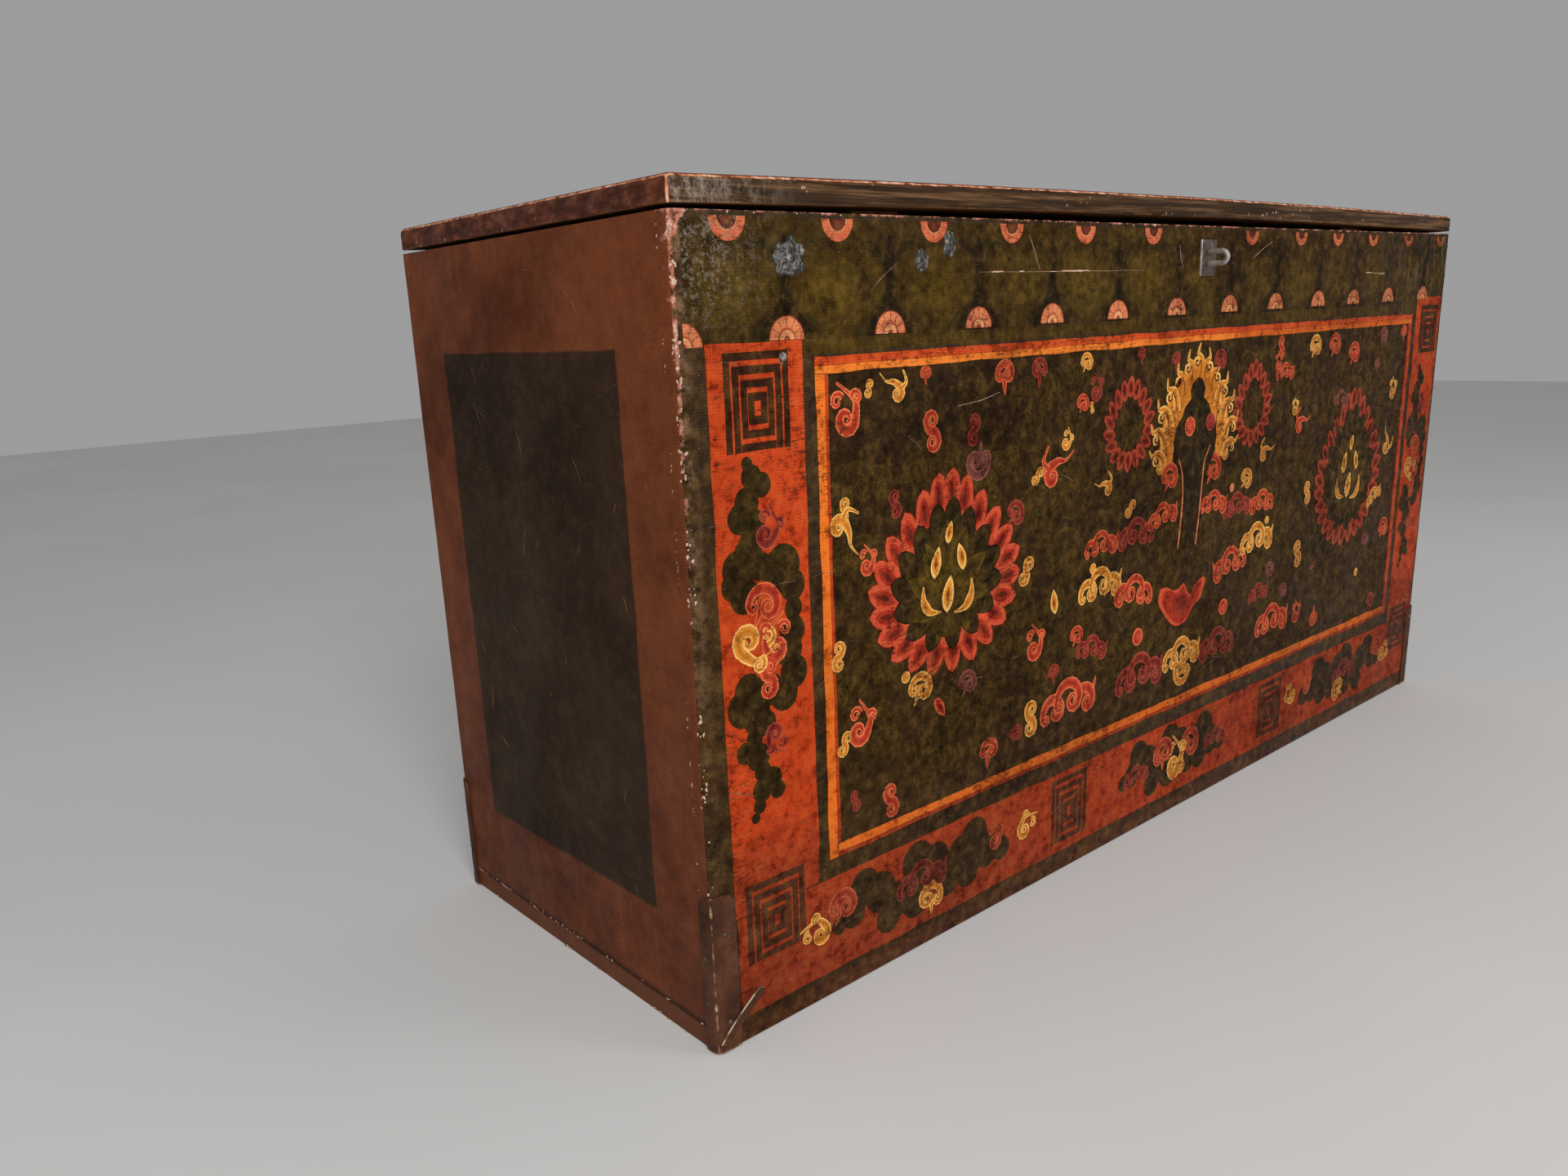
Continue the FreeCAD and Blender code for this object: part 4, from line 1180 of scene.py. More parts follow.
MIDDLE_CLOUDS = (
    ("curl", -2, 4, 44, 0, "gold"), ("crown", -46, -12, 30, -30, "coral"),
    ("crown", 44, -10, 30, 30, "coral"), ("twin", 4, 34, 26, 90, "gold"),
    ("bank", -128, 8, 22, 0, "maroon"), ("bank_m", 132, 8, 22, 0, "maroon"),
)
BAND_V = 893
BAND_SPREAD = 1.08
BAND_GROUPS = (
    (390, BAND_SPREAD, 1, BAND_CLOUDS),
    (1045, 1.0, 1, MIDDLE_CLOUDS),
    (1690, BAND_SPREAD, -1, BAND_CLOUDS),
)


def scroll_places():
    """Lobes and clouds of the border scrolls, in grid squares."""
    lobes, clouds = [], []
    for left, right in (LEFT_COLUMN, RIGHT_COLUMN):
        wide = right - left
        scale = wide / (LEFT_COLUMN[1] - LEFT_COLUMN[0])
        lobes += [(left + share * wide, v, radius * scale) for share, v, radius in COLUMN_LOBES]
        for kind, share, v, size, turn, name in COLUMN_CLOUDS:
            clouds.append((kind, left + share * wide, v, size * scale, turn, name))
    for middle, spread, side, group in BAND_GROUPS:
        for du, dv, radius in BAND_LOBES:
            lobes.append((middle + side * du * spread, BAND_V + dv, radius))
        for kind, du, dv, size, turn, name in group:
            clouds.append((kind, middle + side * du * spread, BAND_V + dv, size, side * turn, name))
    return lobes, clouds


def border_scrolls(lobes):
    """Dark leafy scrolls on the vermilion border, each a run of round lobes."""
    film = Film()
    for index, (u, v, radius) in enumerate(lobes):
        lift = SCROLL_LIFT + (index % 25) * CLOUD_STEP
        film.disc(across(u), upright(v), radius * GRID, lift, (0.62, 0.3), "leaf")
    painted("painted_scrolls", film)


FRET_LINES = (
    ((0.46, 0.03), (0.03, 0.03), (0.03, 0.97)),
    ((0.16, 0.97), (0.16, 0.17), (0.46, 0.17)),
    ((0.46, 0.31), (0.29, 0.31), (0.29, 0.83), (0.46, 0.83)),
    ((0.46, 0.45), (0.4, 0.45), (0.4, 0.69), (0.46, 0.69)),
    ((0.27, 0.97), (0.46, 0.97)),
)
TOP_TONES, FOOT_TONES = (0.4, 0.5), (0.7, 0.85)
FRETS = (
    (63, 155, 150, 258, TOP_TONES), (57, 150, 792, 896, FOOT_TONES), (680, 770, 840, 948, FOOT_TONES),
    (1340, 1427, 840, 946, FOOT_TONES), (1940, 2022, 146, 240, TOP_TONES), (1925, 2010, 800, 896, FOOT_TONES),
)
FRET_BAR = 4.6 * GRID
FRET_CELL = 12 * GRID


def key_frets():
    """Blocks of key fret in dark lines on the border, each the mirror of itself."""
    film = Film()
    for u0, u1, v0, v1, tones in FRETS:
        lift = FRET_LIFT
        for line in FRET_LINES:
            for shares in (line, [(1 - along, down) for along, down in line]):
                line_points = [(u0 + (u1 - u0) * along, v0 + (v1 - v0) * down) for along, down in shares]
                points = grid_path(line_points)
                for (xa, za), (xb, zb) in zip(points, points[1:]):
                    lift += CLOUD_STEP
                    x0, x1 = min(xa, xb) - FRET_BAR, max(xa, xb) + FRET_BAR
                    z0, z1 = min(za, zb) - FRET_BAR, max(za, zb) + FRET_BAR
                    film.panel(x0, x1, z0, z1, lift, tones, "ink", FRET_CELL, GRID)
    painted("painted_frets", film)


LEFT_WREATH = 433
RIGHT_WREATH = 1652
PETAL_OVER, LEAF_OVER, HEART_OVER = 0.22 * MM, 0.36 * MM, 0.44 * MM
PETAL_STEP = 0.06 * MM
PETAL_LEAN = 0.35
WREATHS = (
    ("petal", "coral", PETAL_OVER, LEFT_WREATH, 470, 127, 100, 23, 33, 0.24),
    ("petal", "brick", PETAL_OVER, RIGHT_WREATH, 466, 126, 122, 29, 25, 0.24),
    ("petal", "leaf", LEAF_OVER, LEFT_WREATH, 468, 86, 70, 15, 31, 0.2),
    ("petal", "leaf", LEAF_OVER, RIGHT_WREATH, 462, 86, 90, 15, 31, 0.2),
    ("leaf", "olive", HEART_OVER, LEFT_WREATH, 474, 50, 46, 9, 36, 0.2),
    ("leaf", "olive", HEART_OVER, RIGHT_WREATH, 474, 50, 46, 9, 36, 0.2),
    ("petal", "brick", PETAL_OVER, 858, 299, 55, 55, 18, 18, 0.1),
    ("petal", "brick", PETAL_OVER, 1243, 299, 53, 55, 18, 18, 0.2),
)


def wreaths():
    """Rings of petals (kind, pigment, lift, middle, half sizes, count, petal size), pointed at the top."""
    spots = []
    for kind, name, over, u, v, wide, tall, count, size, point in WREATHS:
        for i in range(count):
            angle = 2 * pi * (i + 0.5) / count
            rise = max(sin(angle), 0.0)
            du = wide * cos(angle) * (1 - point * rise ** 2)
            dv = -tall * sin(angle) * (1 + point * rise ** 5)
            turn = pi / 2 - atan2(-dv * wide, du * tall) - PETAL_LEAN * cos(angle)
            spots.append(front_spot(kind, u + du, v + dv, over + PETAL_STEP * sin(angle), turn, size, name))
    coloured(stamped("painted_wreaths", spots, pigment))


LOTUS = (
    ("leaf", -3, 25, 26, 4, "gold"), ("sickle", -36, 28, 25, 0, "gold"),
    ("sickle_m", 31, 33, 26, 0, "gold"), ("leaf", -27, -22, 22, 6, "gold"),
    ("leaf_m", 27, -23, 20, -8, "gold"), ("leaf", 0, -60, 16, 8, "gold"),
)
LOTUS_V = 462
LOTUS_LOBES = ((0, -8, 62), (-44, 16, 40), (44, 16, 40), (0, 40, 46), (-30, -44, 30), (30, -44, 30))
LOTUS_HEARTS = ((LEFT_WREATH, 462, 1.0), (RIGHT_WREATH, 466, 70 / 74))


def lotus_hearts():
    """Olive lotus inside each large wreath, under its gold petals."""
    film = Film()
    for u, v, scale in LOTUS_HEARTS:
        for du, dv, radius in LOTUS_LOBES:
            lift = LOTUS_LIFT - hypot(du, dv) * CLOUD_STEP / 4
            film.disc(across(u + du), upright(v + dv), radius * scale * GRID, lift, (0.35, 0.7), "olive", 22)
    painted("painted_lotus", film)


FLAME_ARCH = ((966, 372), (973, 324), (1001, 274), (1056, 240), (1111, 274), (1137, 324), (1143, 372))
TONGUES = (
    (940, 358, 28, -62), (941, 324, 32, -50), (955, 291, 33, -40), (977, 262, 33, -32), (1003, 240, 33, -22),
    (1029, 222, 32, -10), (1056, 214, 33, 0), (963, 344, 22, -14), (985, 300, 24, -16),
)
KEYHOLE_U = 1056
KEYHOLE_CORE = (KEYHOLE_U, 305)
KEYHOLE = (
    (26, 520), (30, 470), (34, 430), (42, 398), (62, 366), (68, 340), (62, 314), (46, 298), (38, 283),
    (20, 270), (24, 256), (16, 245), (0, 238),
)
HALO_HALF, HALO_SWELL = 20 * GRID, 14 * GRID
JEWEL = (1057, 257)
JEWEL_RADIUS = 19 * GRID
JEWEL_STEMS = (
    ((1006, 366), (1019, 392), (1024, 433), (1021, 480), (1016, 519)),
    ((1104, 352), (1088, 380), (1084, 415), (1079, 470), (1072, 519)),
)
BOWL_CORE = (1050, 628)
BOWL = (
    (970, 579), (963, 601), (984, 627), (1007, 647), (1031, 655), (1058, 648), (1075, 629), (1098, 618),
    (1112, 588), (1100, 581), (1079, 591), (1064, 606), (1052, 595), (1041, 581), (1027, 588), (1010, 589),
    (990, 580),
)
BOWL_COATS = ((1.0, BOWL_LIFT, (0.66, 0.5)), (0.86, BOWL_LIFT + BOWL_STEP, (0.36, 0.16)))
BOWL_HOLLOW = ((1052, 606), (1034, 600), (1018, 612), (1024, 632), (1044, 634), (1058, 622))
HOLLOW_CORE = (1038, 617)


def flaming_jewel():
    """Gold halo round a dark jewel shaped like a keyhole, with two stem lines below it."""
    film = Film()
    path = curve(grid_path(FLAME_ARCH), 42)
    film.stroke(path, taper(len(path), HALO_HALF, HALO_HALF, HALO_SWELL), HALO_LIFT, (0.54, 0.3), "gold")
    right = [(KEYHOLE_U + du, v) for du, v in KEYHOLE]
    left = [(KEYHOLE_U - du, v) for du, v in KEYHOLE[-2::-1]]
    film.fan(grid_path(right + left), *grid_path([KEYHOLE_CORE]), KEYHOLE_LIFT, (0.2, 0.5), "leaf")
    film.disc(across(JEWEL[0]), upright(JEWEL[1]), JEWEL_RADIUS, JEWEL_LIFT, (0.0, 0.1), "leaf", 22, 1.05)
    for line in JEWEL_STEMS:
        stem = curve(grid_path(line), 20)
        widths = taper(len(stem), 1.2 * GRID, 1.8 * GRID, 0.4 * GRID)
        film.stroke(stem, widths, JEWEL_STEM_LIFT, (0.6, 0.75), "rosette")
    painted("painted_jewel", film)


def offering_bowl():
    """Red bowl under the jewel: a pale lip, a body and a dark hollow."""
    film = Film()
    outline = curve(BOWL + BOWL[:1], 51)[:-1]
    core_u, core_v = BOWL_CORE
    for share, lift, tones in BOWL_COATS:
        ring = [(core_u + (u - core_u) * share, core_v + (v - core_v) * share) for u, v in outline]
        film.fan(grid_path(ring), *grid_path([BOWL_CORE]), lift, tones, "coral")
    hollow = grid_path(curve(BOWL_HOLLOW + BOWL_HOLLOW[:1], 24)[:-1])
    film.fan(hollow, *grid_path([HOLLOW_CORE]), BOWL_LIFT + 2 * BOWL_STEP, (0.22, 0.06), "coral")
    painted("painted_bowl", film)


CLOUDS = (
    ("curl", 248, 222, 36, -10, "coral"), ("twin", 287, 202, 12, 30, "gold"),
    ("streamer", 331, 200, 24, 20, "gold"), ("heart", 390, 193, 12, 0, "coral"),
    ("twin", 403, 264, 28, 0, "coral"), ("twin_m", 485, 270, 22, 0, "maroon"),
    ("crown", 497, 315, 26, 160, "mauve"), ("heart", 550, 206, 24, 0, "coral"),
    ("heart_m", 628, 204, 21, 0, "maroon"), ("crown", 740, 195, 15, 0, "gold"),
    ("curl", 768, 232, 23, 0, "maroon"), ("crown", 733, 254, 15, 0, "coral"),
    ("twin", 757, 262, 9, 0, "gold"), ("heart", 885, 194, 13, 0, "maroon"),
    ("streamer_m", 674, 338, 36, -12, "coral"), ("curl", 698, 303, 18, 20, "gold"),
    ("twin", 628, 350, 16, 60, "gold"), ("streamer_m", 243, 374, 30, 70, "gold"),
    ("twin", 240, 346, 16, 20, "gold"), ("curl", 279, 414, 22, 0, "coral"),
    ("twin", 331, 350, 19, 0, "maroon"), ("crown", 577, 396, 20, 20, "maroon"),
    ("twin", 605, 486, 23, 40, "gold"), ("twin_m", 223, 530, 20, 0, "gold"),
    ("leaf", 672, 545, 20, -15, "gold"), ("bank", 792, 478, 25, 0, "coral"),
    ("bank_m", 888, 476, 30, 0, "maroon"), ("twin", 870, 430, 17, 60, "gold"),
    ("streamer", 795, 383, 22, 0, "gold"), ("bank", 966, 457, 25, -8, "coral"),
    ("crown", 980, 392, 25, 0, "coral"), ("bank", 793, 544, 33, 0, "gold"),
    ("pearl", 770, 510, 9, 0, "gold"), ("bank_m", 888, 572, 32, 8, "coral"),
    ("curl", 628, 597, 31, 0, "coral"), ("crown", 732, 610, 17, 0, "coral"),
    ("bank", 774, 642, 24, 12, "maroon"), ("pearl", 903, 648, 16, 0, "coral"),
    ("pearl", 1178, 650, 16, 0, "coral"), ("heart", 675, 660, 16, 0, "maroon"),
    ("curl", 262, 628, 34, 10, "coral"), ("twin", 231, 650, 18, 40, "gold"),
    ("crown", 374, 608, 24, 0, "gold"), ("pearl", 345, 586, 9, 0, "gold"),
    ("leaf", 415, 645, 19, 140, "coral"), ("crown", 472, 624, 20, 0, "mauve"),
    ("twin", 247, 734, 15, 0, "maroon"), ("twin", 621, 717, 29, 10, "gold"),
    ("crown", 584, 731, 15, 0, "maroon"), ("bank", 716, 716, 41, 0, "coral"),
    ("heart", 520, 746, 24, 10, "coral"), ("twin", 315, 754, 25, 0, "coral"),
    ("bank", 915, 718, 40, 0, "maroon"), ("bank", 1045, 712, 34, 0, "gold"),
    ("crown", 1050, 742, 27, 180, "gold"), ("crown", 1115, 392, 28, 0, "coral"),
    ("bank", 1127, 457, 25, 6, "coral"), ("bank", 1207, 473, 27, 0, "maroon"),
    ("bank_m", 1298, 478, 26, 0, "coral"), ("pearl", 1185, 435, 8, 0, "rosette"),
    ("crown", 1235, 425, 20, 20, "gold"), ("streamer_m", 1304, 381, 25, 0, "gold"),
    ("twin", 1335, 201, 20, 0, "coral"), ("curl", 1327, 224, 18, 0, "coral"),
    ("bank", 1354, 248, 19, 0, "coral"), ("crown", 1465, 205, 22, 0, "gold"),
    ("crown", 1545, 206, 23, 0, "coral"), ("crown", 1630, 226, 23, 0, "coral"),
    ("crown", 1760, 198, 18, 0, "mauve"), ("heart", 1742, 258, 15, 0, "mauve"),
    ("curl", 1828, 305, 25, 0, "gold"), ("heart", 1856, 198, 16, 0, "coral"),
    ("curl", 1402, 310, 18, 0, "gold"), ("streamer_m", 1435, 340, 28, 0, "coral"),
    ("bank", 1590, 312, 18, 0, "mauve"), ("twin", 1477, 481, 23, 0, "gold"),
    ("bank", 1782, 527, 20, -20, "gold"), ("streamer", 1820, 412, 30, 60, "gold"),
    ("bank", 1288, 545, 34, 0, "gold"), ("pearl", 1320, 512, 8, 0, "gold"),
    ("bank_m", 1195, 575, 33, -8, "coral"), ("twin", 1456, 597, 27, 0, "gold"),
    ("crown", 1345, 611, 17, 0, "mauve"), ("crown", 1405, 661, 16, 0, "mauve"),
    ("leaf", 1525, 630, 15, 60, "mauve"), ("bank", 1307, 650, 21, 0, "maroon"),
    ("crown", 1755, 615, 16, 0, "mauve"), ("crown", 1842, 602, 23, 0, "coral"),
    ("pearl", 1725, 680, 9, 0, "gold"), ("bank", 1368, 716, 36, 0, "coral"),
    ("curl", 1468, 714, 25, 0, "coral"), ("heart", 1545, 738, 21, 180, "coral"),
    ("bank_m", 1165, 720, 35, 0, "maroon"), ("crown", 1810, 758, 19, 0, "maroon"),
    ("heart", 985, 208, 15, 0, "maroon"), ("crown", 1122, 212, 19, 0, "maroon"),
    ("pearl", 1035, 315, 17, 0, "coral"), ("pearl", 1100, 313, 16, 0, "maroon"),
    ("curl", 956, 370, 18, 40, "gold"), ("curl_m", 1152, 368, 18, -40, "gold"),
)


def cloud_field(border):
    """Every cloud on the front, each a hair above the one before it, with pearls and lotus petals on top."""
    clouds = list(CLOUDS)
    for u in (LEFT_WREATH, RIGHT_WREATH):
        clouds += [(kind, u + du, LOTUS_V + dv, *rest) for kind, du, dv, *rest in LOTUS]
    on_top = set(range(len(CLOUDS), len(clouds)))
    for u, v, size, turn in TONGUES:
        clouds.append(("tongue", u, v, size, turn, "gold"))
        if u != KEYHOLE_U:
            clouds.append(("tongue_m", 2 * KEYHOLE_U - u, v, size, -turn, "gold"))
    spots = []
    for index, (kind, u, v, size, turn, name) in enumerate(clouds + border):
        lift = CLOUD_LIFT + CLOUD_STEP * (index % 40)
        if index in on_top or kind == "pearl":
            lift += OVER_LOTUS
        spots.append(front_spot(kind, u, v, lift, radians(turn), size, name))
    coloured(stamped("painted_clouds", spots, pigment))


GHOST_ROWS, GHOST_COLUMNS = 7, 19
GHOST_START = (250, 225)
GHOST_STEP = 86
GHOST_RIGHT, GHOST_TOP, GHOST_FOOT = 1850, 176, 770
GHOST_KINDS = ("crown", "bank", "bank_m", "twin", "curl")


def ghost_scrolls():
    """Olive cloud scrolls that fill the dark field between the bright motifs."""
    chance = random.Random(SEED)
    spots = []
    for row in range(GHOST_ROWS):
        for column in range(GHOST_COLUMNS):
            u = GHOST_START[0] + column * GHOST_STEP + chance.uniform(-30, 30) + (row % 2) * 40
            v = GHOST_START[1] + row * GHOST_STEP + chance.uniform(-26, 26)
            kind = chance.choice(GHOST_KINDS)
            size = chance.uniform(34, 54) * (0.75 if kind.startswith("bank") else 1.0)
            if u + size > GHOST_RIGHT or v + size > GHOST_FOOT or v - size < GHOST_TOP:
                continue
            lift = CLOUD_STEP * 0.3 * (len(spots) % 30)
            turn = radians(chance.uniform(-50, 50))
            spots.append(front_spot(kind, u, v, lift, turn, size, "moss"))
    coloured(stamped("painted_ghosts", spots, pigment))


# Cloth skins

def skin_path(side):
    """Plan of a long cloth, from its return on the left end round to its return on the right one."""
    turn_x, turn_y = half_long - CORNER_ROUND, half_deep - CORNER_ROUND
    path = []
    for i in range(RETURN_STEPS):
        path.append((-half_long, -return_y - (turn_y - return_y) * i / RETURN_STEPS, -1.0, 0.0))
    path += quarter_turn(-turn_x, -turn_y, CORNER_ROUND, pi)
    steps = int(2 * turn_x / SKIN_STEP)
    for i in range(1, steps):
        path.append((-turn_x + 2 * turn_x * i / steps, -half_deep, 0.0, -1.0))
    path += quarter_turn(turn_x, -turn_y, CORNER_ROUND, 1.5 * pi)
    for i in range(1, RETURN_STEPS + 1):
        path.append((half_long, -turn_y + (turn_y - return_y) * i / RETURN_STEPS, 1.0, 0.0))
    if side > 0:
        path = [(-x, -y, -nx, -ny) for x, y, nx, ny in path]
    return path


def end_path(side):
    """Plan of an end cloth between the returns of the long ones."""
    steps = int(2 * return_y / SKIN_STEP)
    path = []
    for i in range(steps + 1):
        path.append((side * half_long, side * (-return_y + 2 * return_y * i / steps), side, 0.0))
    return path


def skin(name, path, foot, wear_at, fray=0.0):
    """Closed cloth of one thickness on a plan path, gently uneven, with the wear that a rule gives."""
    rows = int((rim_z - foot) / SKIN_STEP)
    corners, wear = [], []
    for layer in (0, 1):
        for k in range(rows + 1):
            z = foot + (rim_z - foot) * k / rows
            for i, (x, y, nx, ny) in enumerate(path):
                dip = 0.1 * MM * (1 + rough(x, y, z, 24.0))
                dip += 0.12 * MM * (1 + rough(x, y, z, 90.0)) * abs(nx * ny) * 4
                depth = dip if layer == 0 else CLOTH
                along = fray * rough(x, y, z * 2, 60.0) if i in (0, len(path) - 1) else 0.0
                corners.append((x - nx * depth, y - ny * depth + along, z))
                wear.append(wear_at(x, y, z, nx, ny))
    return worn_piece(name, corners, sheet_faces(rows + 1, len(path)), wear, 40)


def long_wear(x, y, z, nx, ny):
    """Long cloths are worn at the rim, over the corners, at the foot and along their returns."""
    rim = ease(rim_z - 8 * MM, rim_z - 1 * MM, z) * (0.84 + 0.12 * rough(x, 0.3, 0.2, 40.0))
    beside = 0.66 + 0.4 * rough(x, 0.2, z, 90.0)
    beside *= ease(half_long - 16 * MM, half_long - 4 * MM, abs(x))
    beside *= ease(rim_z - 110 * MM, rim_z - 20 * MM, z)
    corner = 0.68 + 0.24 * ease(250 * MM, rim_z, z) + 0.16 * rough(x, 0.6, z, 70.0)
    corner *= ease(0.08, 0.5, abs(nx * ny))
    seam = 0.66 * ease(return_y + 4 * MM, return_y, abs(y))
    foot = 0.42 * ease(14 * MM, 3 * MM, z)
    return max(rim, beside, corner, seam, foot)


def end_wear(x, y, z, _nx, _ny):
    """End cloths are worn at the rim, along their seams and most of all at the foot."""
    rim = ease(rim_z - 6 * MM, rim_z - 1 * MM, z) * 0.62
    seam = 0.5 * ease(return_y - 5 * MM, return_y, abs(y))
    foot = (0.7 + 0.35 * rough(x, y, 0.5, 45.0)) * ease(board_foot + 10 * MM, board_foot, z)
    return max(rim, seam, foot)


def cloth_skins():
    """Front cloth with end paint on its returns, back cloth and the cloth of both ends."""
    front = skin("front_skin", skin_path(-1), cloth_foot, long_wear, CLOTH_FRAY)
    front.data.materials.append(ground)
    front.data.materials.append(back_paint)
    for face in front.data.polygons:
        if face.center.y > -half_deep + CORNER_ROUND * 0.55:
            face.material_index = 1
    settle(front, "carcass", "front_paint", "front_cloth")
    back = skin("back_skin", skin_path(1), cloth_foot, long_wear, CLOTH_FRAY)
    back.data.materials.append(back_paint)
    settle(back, "carcass", "end_paint", "back_cloth")
    for name, side in (("left", -1), ("right", 1)):
        end = skin(name + "_skin", end_path(side), board_foot, end_wear)
        end.data.materials.append(end_paint)
        settle(end, "carcass", "end_paint", name + "_cloth")


# Breaks in the paint

def edge_flakes():
    """Chips down the corners, along the rim, the returns and the foot, thickest at the near corner."""
    chance = random.Random(SEED + 1)
    spots = []

    def chip(x, y, z, heading, size, slant=0.0, spread=0.5):
        kind = chance.choice(FLAKES)
        turn = (0.0, slant + chance.uniform(-spread, spread), heading)
        spots.append((kind, (x, y, z), turn, size, "rosette"))

    above_cap, below_rim = 110 * MM, rim_z - 4 * MM
    for side, count in ((-1, 420), (1, 240)):
        for _ in range(count):
            z = chance.uniform(above_cap, below_rim)
            clump = rough(side, 0.5, z, 34.0) + 0.12 + 0.4 * ease(300 * MM, rim_z, z)
            if chance.uniform(0.0, 1.0) > clump:
                continue
            heading = side * radians(chance.uniform(18, 72))
            x = side * (half_long - CORNER_ROUND * (1 - abs(sin(heading))))
            y = -half_deep + CORNER_ROUND * (1 - cos(heading))
            chip(x, y, z, heading, chance.uniform(0.5, 2.0) * MM)
    for _ in range(150):
        z = chance.uniform(above_cap, below_rim)
        if chance.uniform(0.0, 1.0) < 0.3 + rough(0.2, 0.8, z, 26.0):
            y = -return_y - chance.uniform(0.0, 1.0) * MM
            chip(-half_long, y, z, -pi / 2, chance.uniform(0.5, 1.3) * MM)
    for _ in range(120):
        x = chance.uniform(-half_long + 6 * MM, half_long - 6 * MM)
        clump = 0.35 + rough(x, 0.1, 0.4, 30.0) + 0.3 * ease(-300 * MM, -half_long, x)
        if chance.uniform(0.0, 1.0) > clump:
            continue
        size = chance.uniform(0.4, 1.2) * MM
        chip(x, -half_deep, rim_z - size, 0.0, size, pi / 2, 0.3)
    for _ in range(130):
        y = chance.uniform(-return_y, return_y)
        if chance.uniform(0.0, 1.0) < 0.45 + rough(0.3, y, 0.1, 30.0):
            z = chance.choice((board_foot, 0.0, 0.0)) + chance.uniform(0.8, 2.6) * MM
            turn = (0.0, pi / 2 + chance.uniform(-0.4, 0.4), -pi / 2)
            kind = chance.choice(FLAKES)
            spots.append((kind, (-half_long, y, z), turn, chance.uniform(0.6, 1.8) * MM, "rosette"))
    settle(stamped("edge_chips", spots, chalk), "carcass", "front_paint")


def hair_scratches():
    """Fine scratches: mostly level on the front, at any slant on the left end."""
    chance = random.Random(SEED + 2)
    spots = []
    for _ in range(170):
        place = (chance.uniform(-0.97, 0.96) * half_long, -half_deep, chance.uniform(0.04, rim_z - 8 * MM))
        size = chance.choice((2, 3, 4, 6, 9, 14)) * chance.uniform(0.7, 1.2) * MM
        spots.append(("scratch", place, (0.0, chance.gauss(0.0, 0.4), 0.0), size, "scuff"))
    for _ in range(60):
        place = (-half_long, chance.uniform(-0.9, 0.9) * return_y, chance.uniform(0.05, rim_z - 12 * MM))
        size = chance.choice((2, 3, 5, 8)) * chance.uniform(0.7, 1.2) * MM
        spots.append(("scratch", place, (0.0, chance.uniform(-1.4, 1.4), -pi / 2), size, "scuff"))
    coloured(stamped("hair_scratches", spots, pigment))


CRACKS = (
    (495, 884, 67, 0.16), (520, 546, 66.5, 0.8), (580, 591, 66.5, 0.8), (648, 664, 67, 0.5),
    (676, 742, 66.5, 1.0), (1650, 1740, 77, 0.2), (1652, 1680, 76, 0.6), (1714, 1736, 78.5, 0.6),
)
CRACK_POINTS = 9
SCRATCHES = (
    ((600, 20), (612, 40), (625, 66)), ((1210, 50), (1240, 36), (1275, 22)),
    ((980, 30), (985, 50), (992, 62)), ((452, 236), (500, 232), (540, 224)),
)


def cracks_and_scratches():
    """Open joint between the front boards, and a few scratches down to the chalk."""
    film = Film()
    for u0, u1, v, open_share in CRACKS:
        path, widths = [], []
        for i in range(CRACK_POINTS):
            waver = 0.9 * rough(u0 + i * 5, v, 0.0, 0.31)
            path.append((u0 + (u1 - u0) * i / (CRACK_POINTS - 1), v + waver))
            widths.append(open_share * GRID * (0.35 + 0.75 * sin(pi * (i + 0.5) / CRACK_POINTS)))
        film.stroke(grid_path(path), widths, (0.11 + 0.03 * open_share) * MM, (1.0, 1.0), "rosette")
    for line in SCRATCHES:
        path = curve(grid_path(line), 12)
        widths = taper(len(path), 0.12 * GRID, 0.08 * GRID, 0.12 * GRID)
        film.stroke(path, widths, SCRATCH_LIFT, (1.0, 1.0), "rosette")
    piece = new_mesh_object("joint_cracks", [(x, -half_deep + y, z) for x, y, z in film.corners], film.faces)
    piece.data.materials.append(chalk)
    settle(piece, "carcass", "front_paint")


BLISTERS = ((165, 48, 30, 30, 2), (385, 52, 15, 20, 3), (438, 32, 16, 22, 4), (150, 158, 9, 9, 5))
BLISTER_RINGS = 14
BLISTER_SPOKES = 40


def varnish_blisters():
    """Patches of varnish boiled up in beads, on a fine grid of their own."""
    corners, faces = [], []
    rings, spokes = BLISTER_RINGS, BLISTER_SPOKES
    for u, v, wide, tall, seed in BLISTERS:
        start = len(corners)
        for ring in range(rings + 1):
            share = ring / rings
            sunk = 0.4 * MM if ring == rings else 0.0
            for spoke in range(spokes):
                angle = 2 * pi * spoke / spokes
                reach = share * (0.8 + 0.3 * rough(cos(angle), sin(angle), seed, 2.6)) * GRID
                x = across(u) + wide * reach * cos(angle)
                z = upright(v) + tall * reach * sin(angle)
                bead = abs(rough(x, seed, z, 420.0)) + 0.6 * abs(rough(x, seed, z, 190.0))
                lift = (0.15 + 1.1 * bead) * MM * (1 - share ** 3) - sunk
                corners.append((max(x, -half_long + 3 * MM), -half_deep - lift, z))
        for a in range(start, start + rings * spokes, spokes):
            for spoke in range(spokes):
                after = (spoke + 1) % spokes
                faces.append((a + spoke, a + spokes + spoke, a + spokes + after, a + after))
        faces.append(tuple(range(start, start + spokes)))
        faces.append(tuple(reversed(range(start + rings * spokes, len(corners)))))
    piece = new_mesh_object("varnish_blisters", corners, faces)
    piece.data.materials.append(blister)
    mend = bmesh.new()
    mend.from_mesh(piece.data)
    bmesh.ops.remove_doubles(mend, verts=mend.verts, dist=SAME_PLACE)
    mend.to_mesh(piece.data)
    mend.free()
    shade_smooth(piece, 70)
    settle(piece, "carcass", "front_paint")


# Hide caps and the peeled flap

CAP_ROWS = 44
CAP_FLAT_STEPS = 8
CAP_END_STEPS = 4


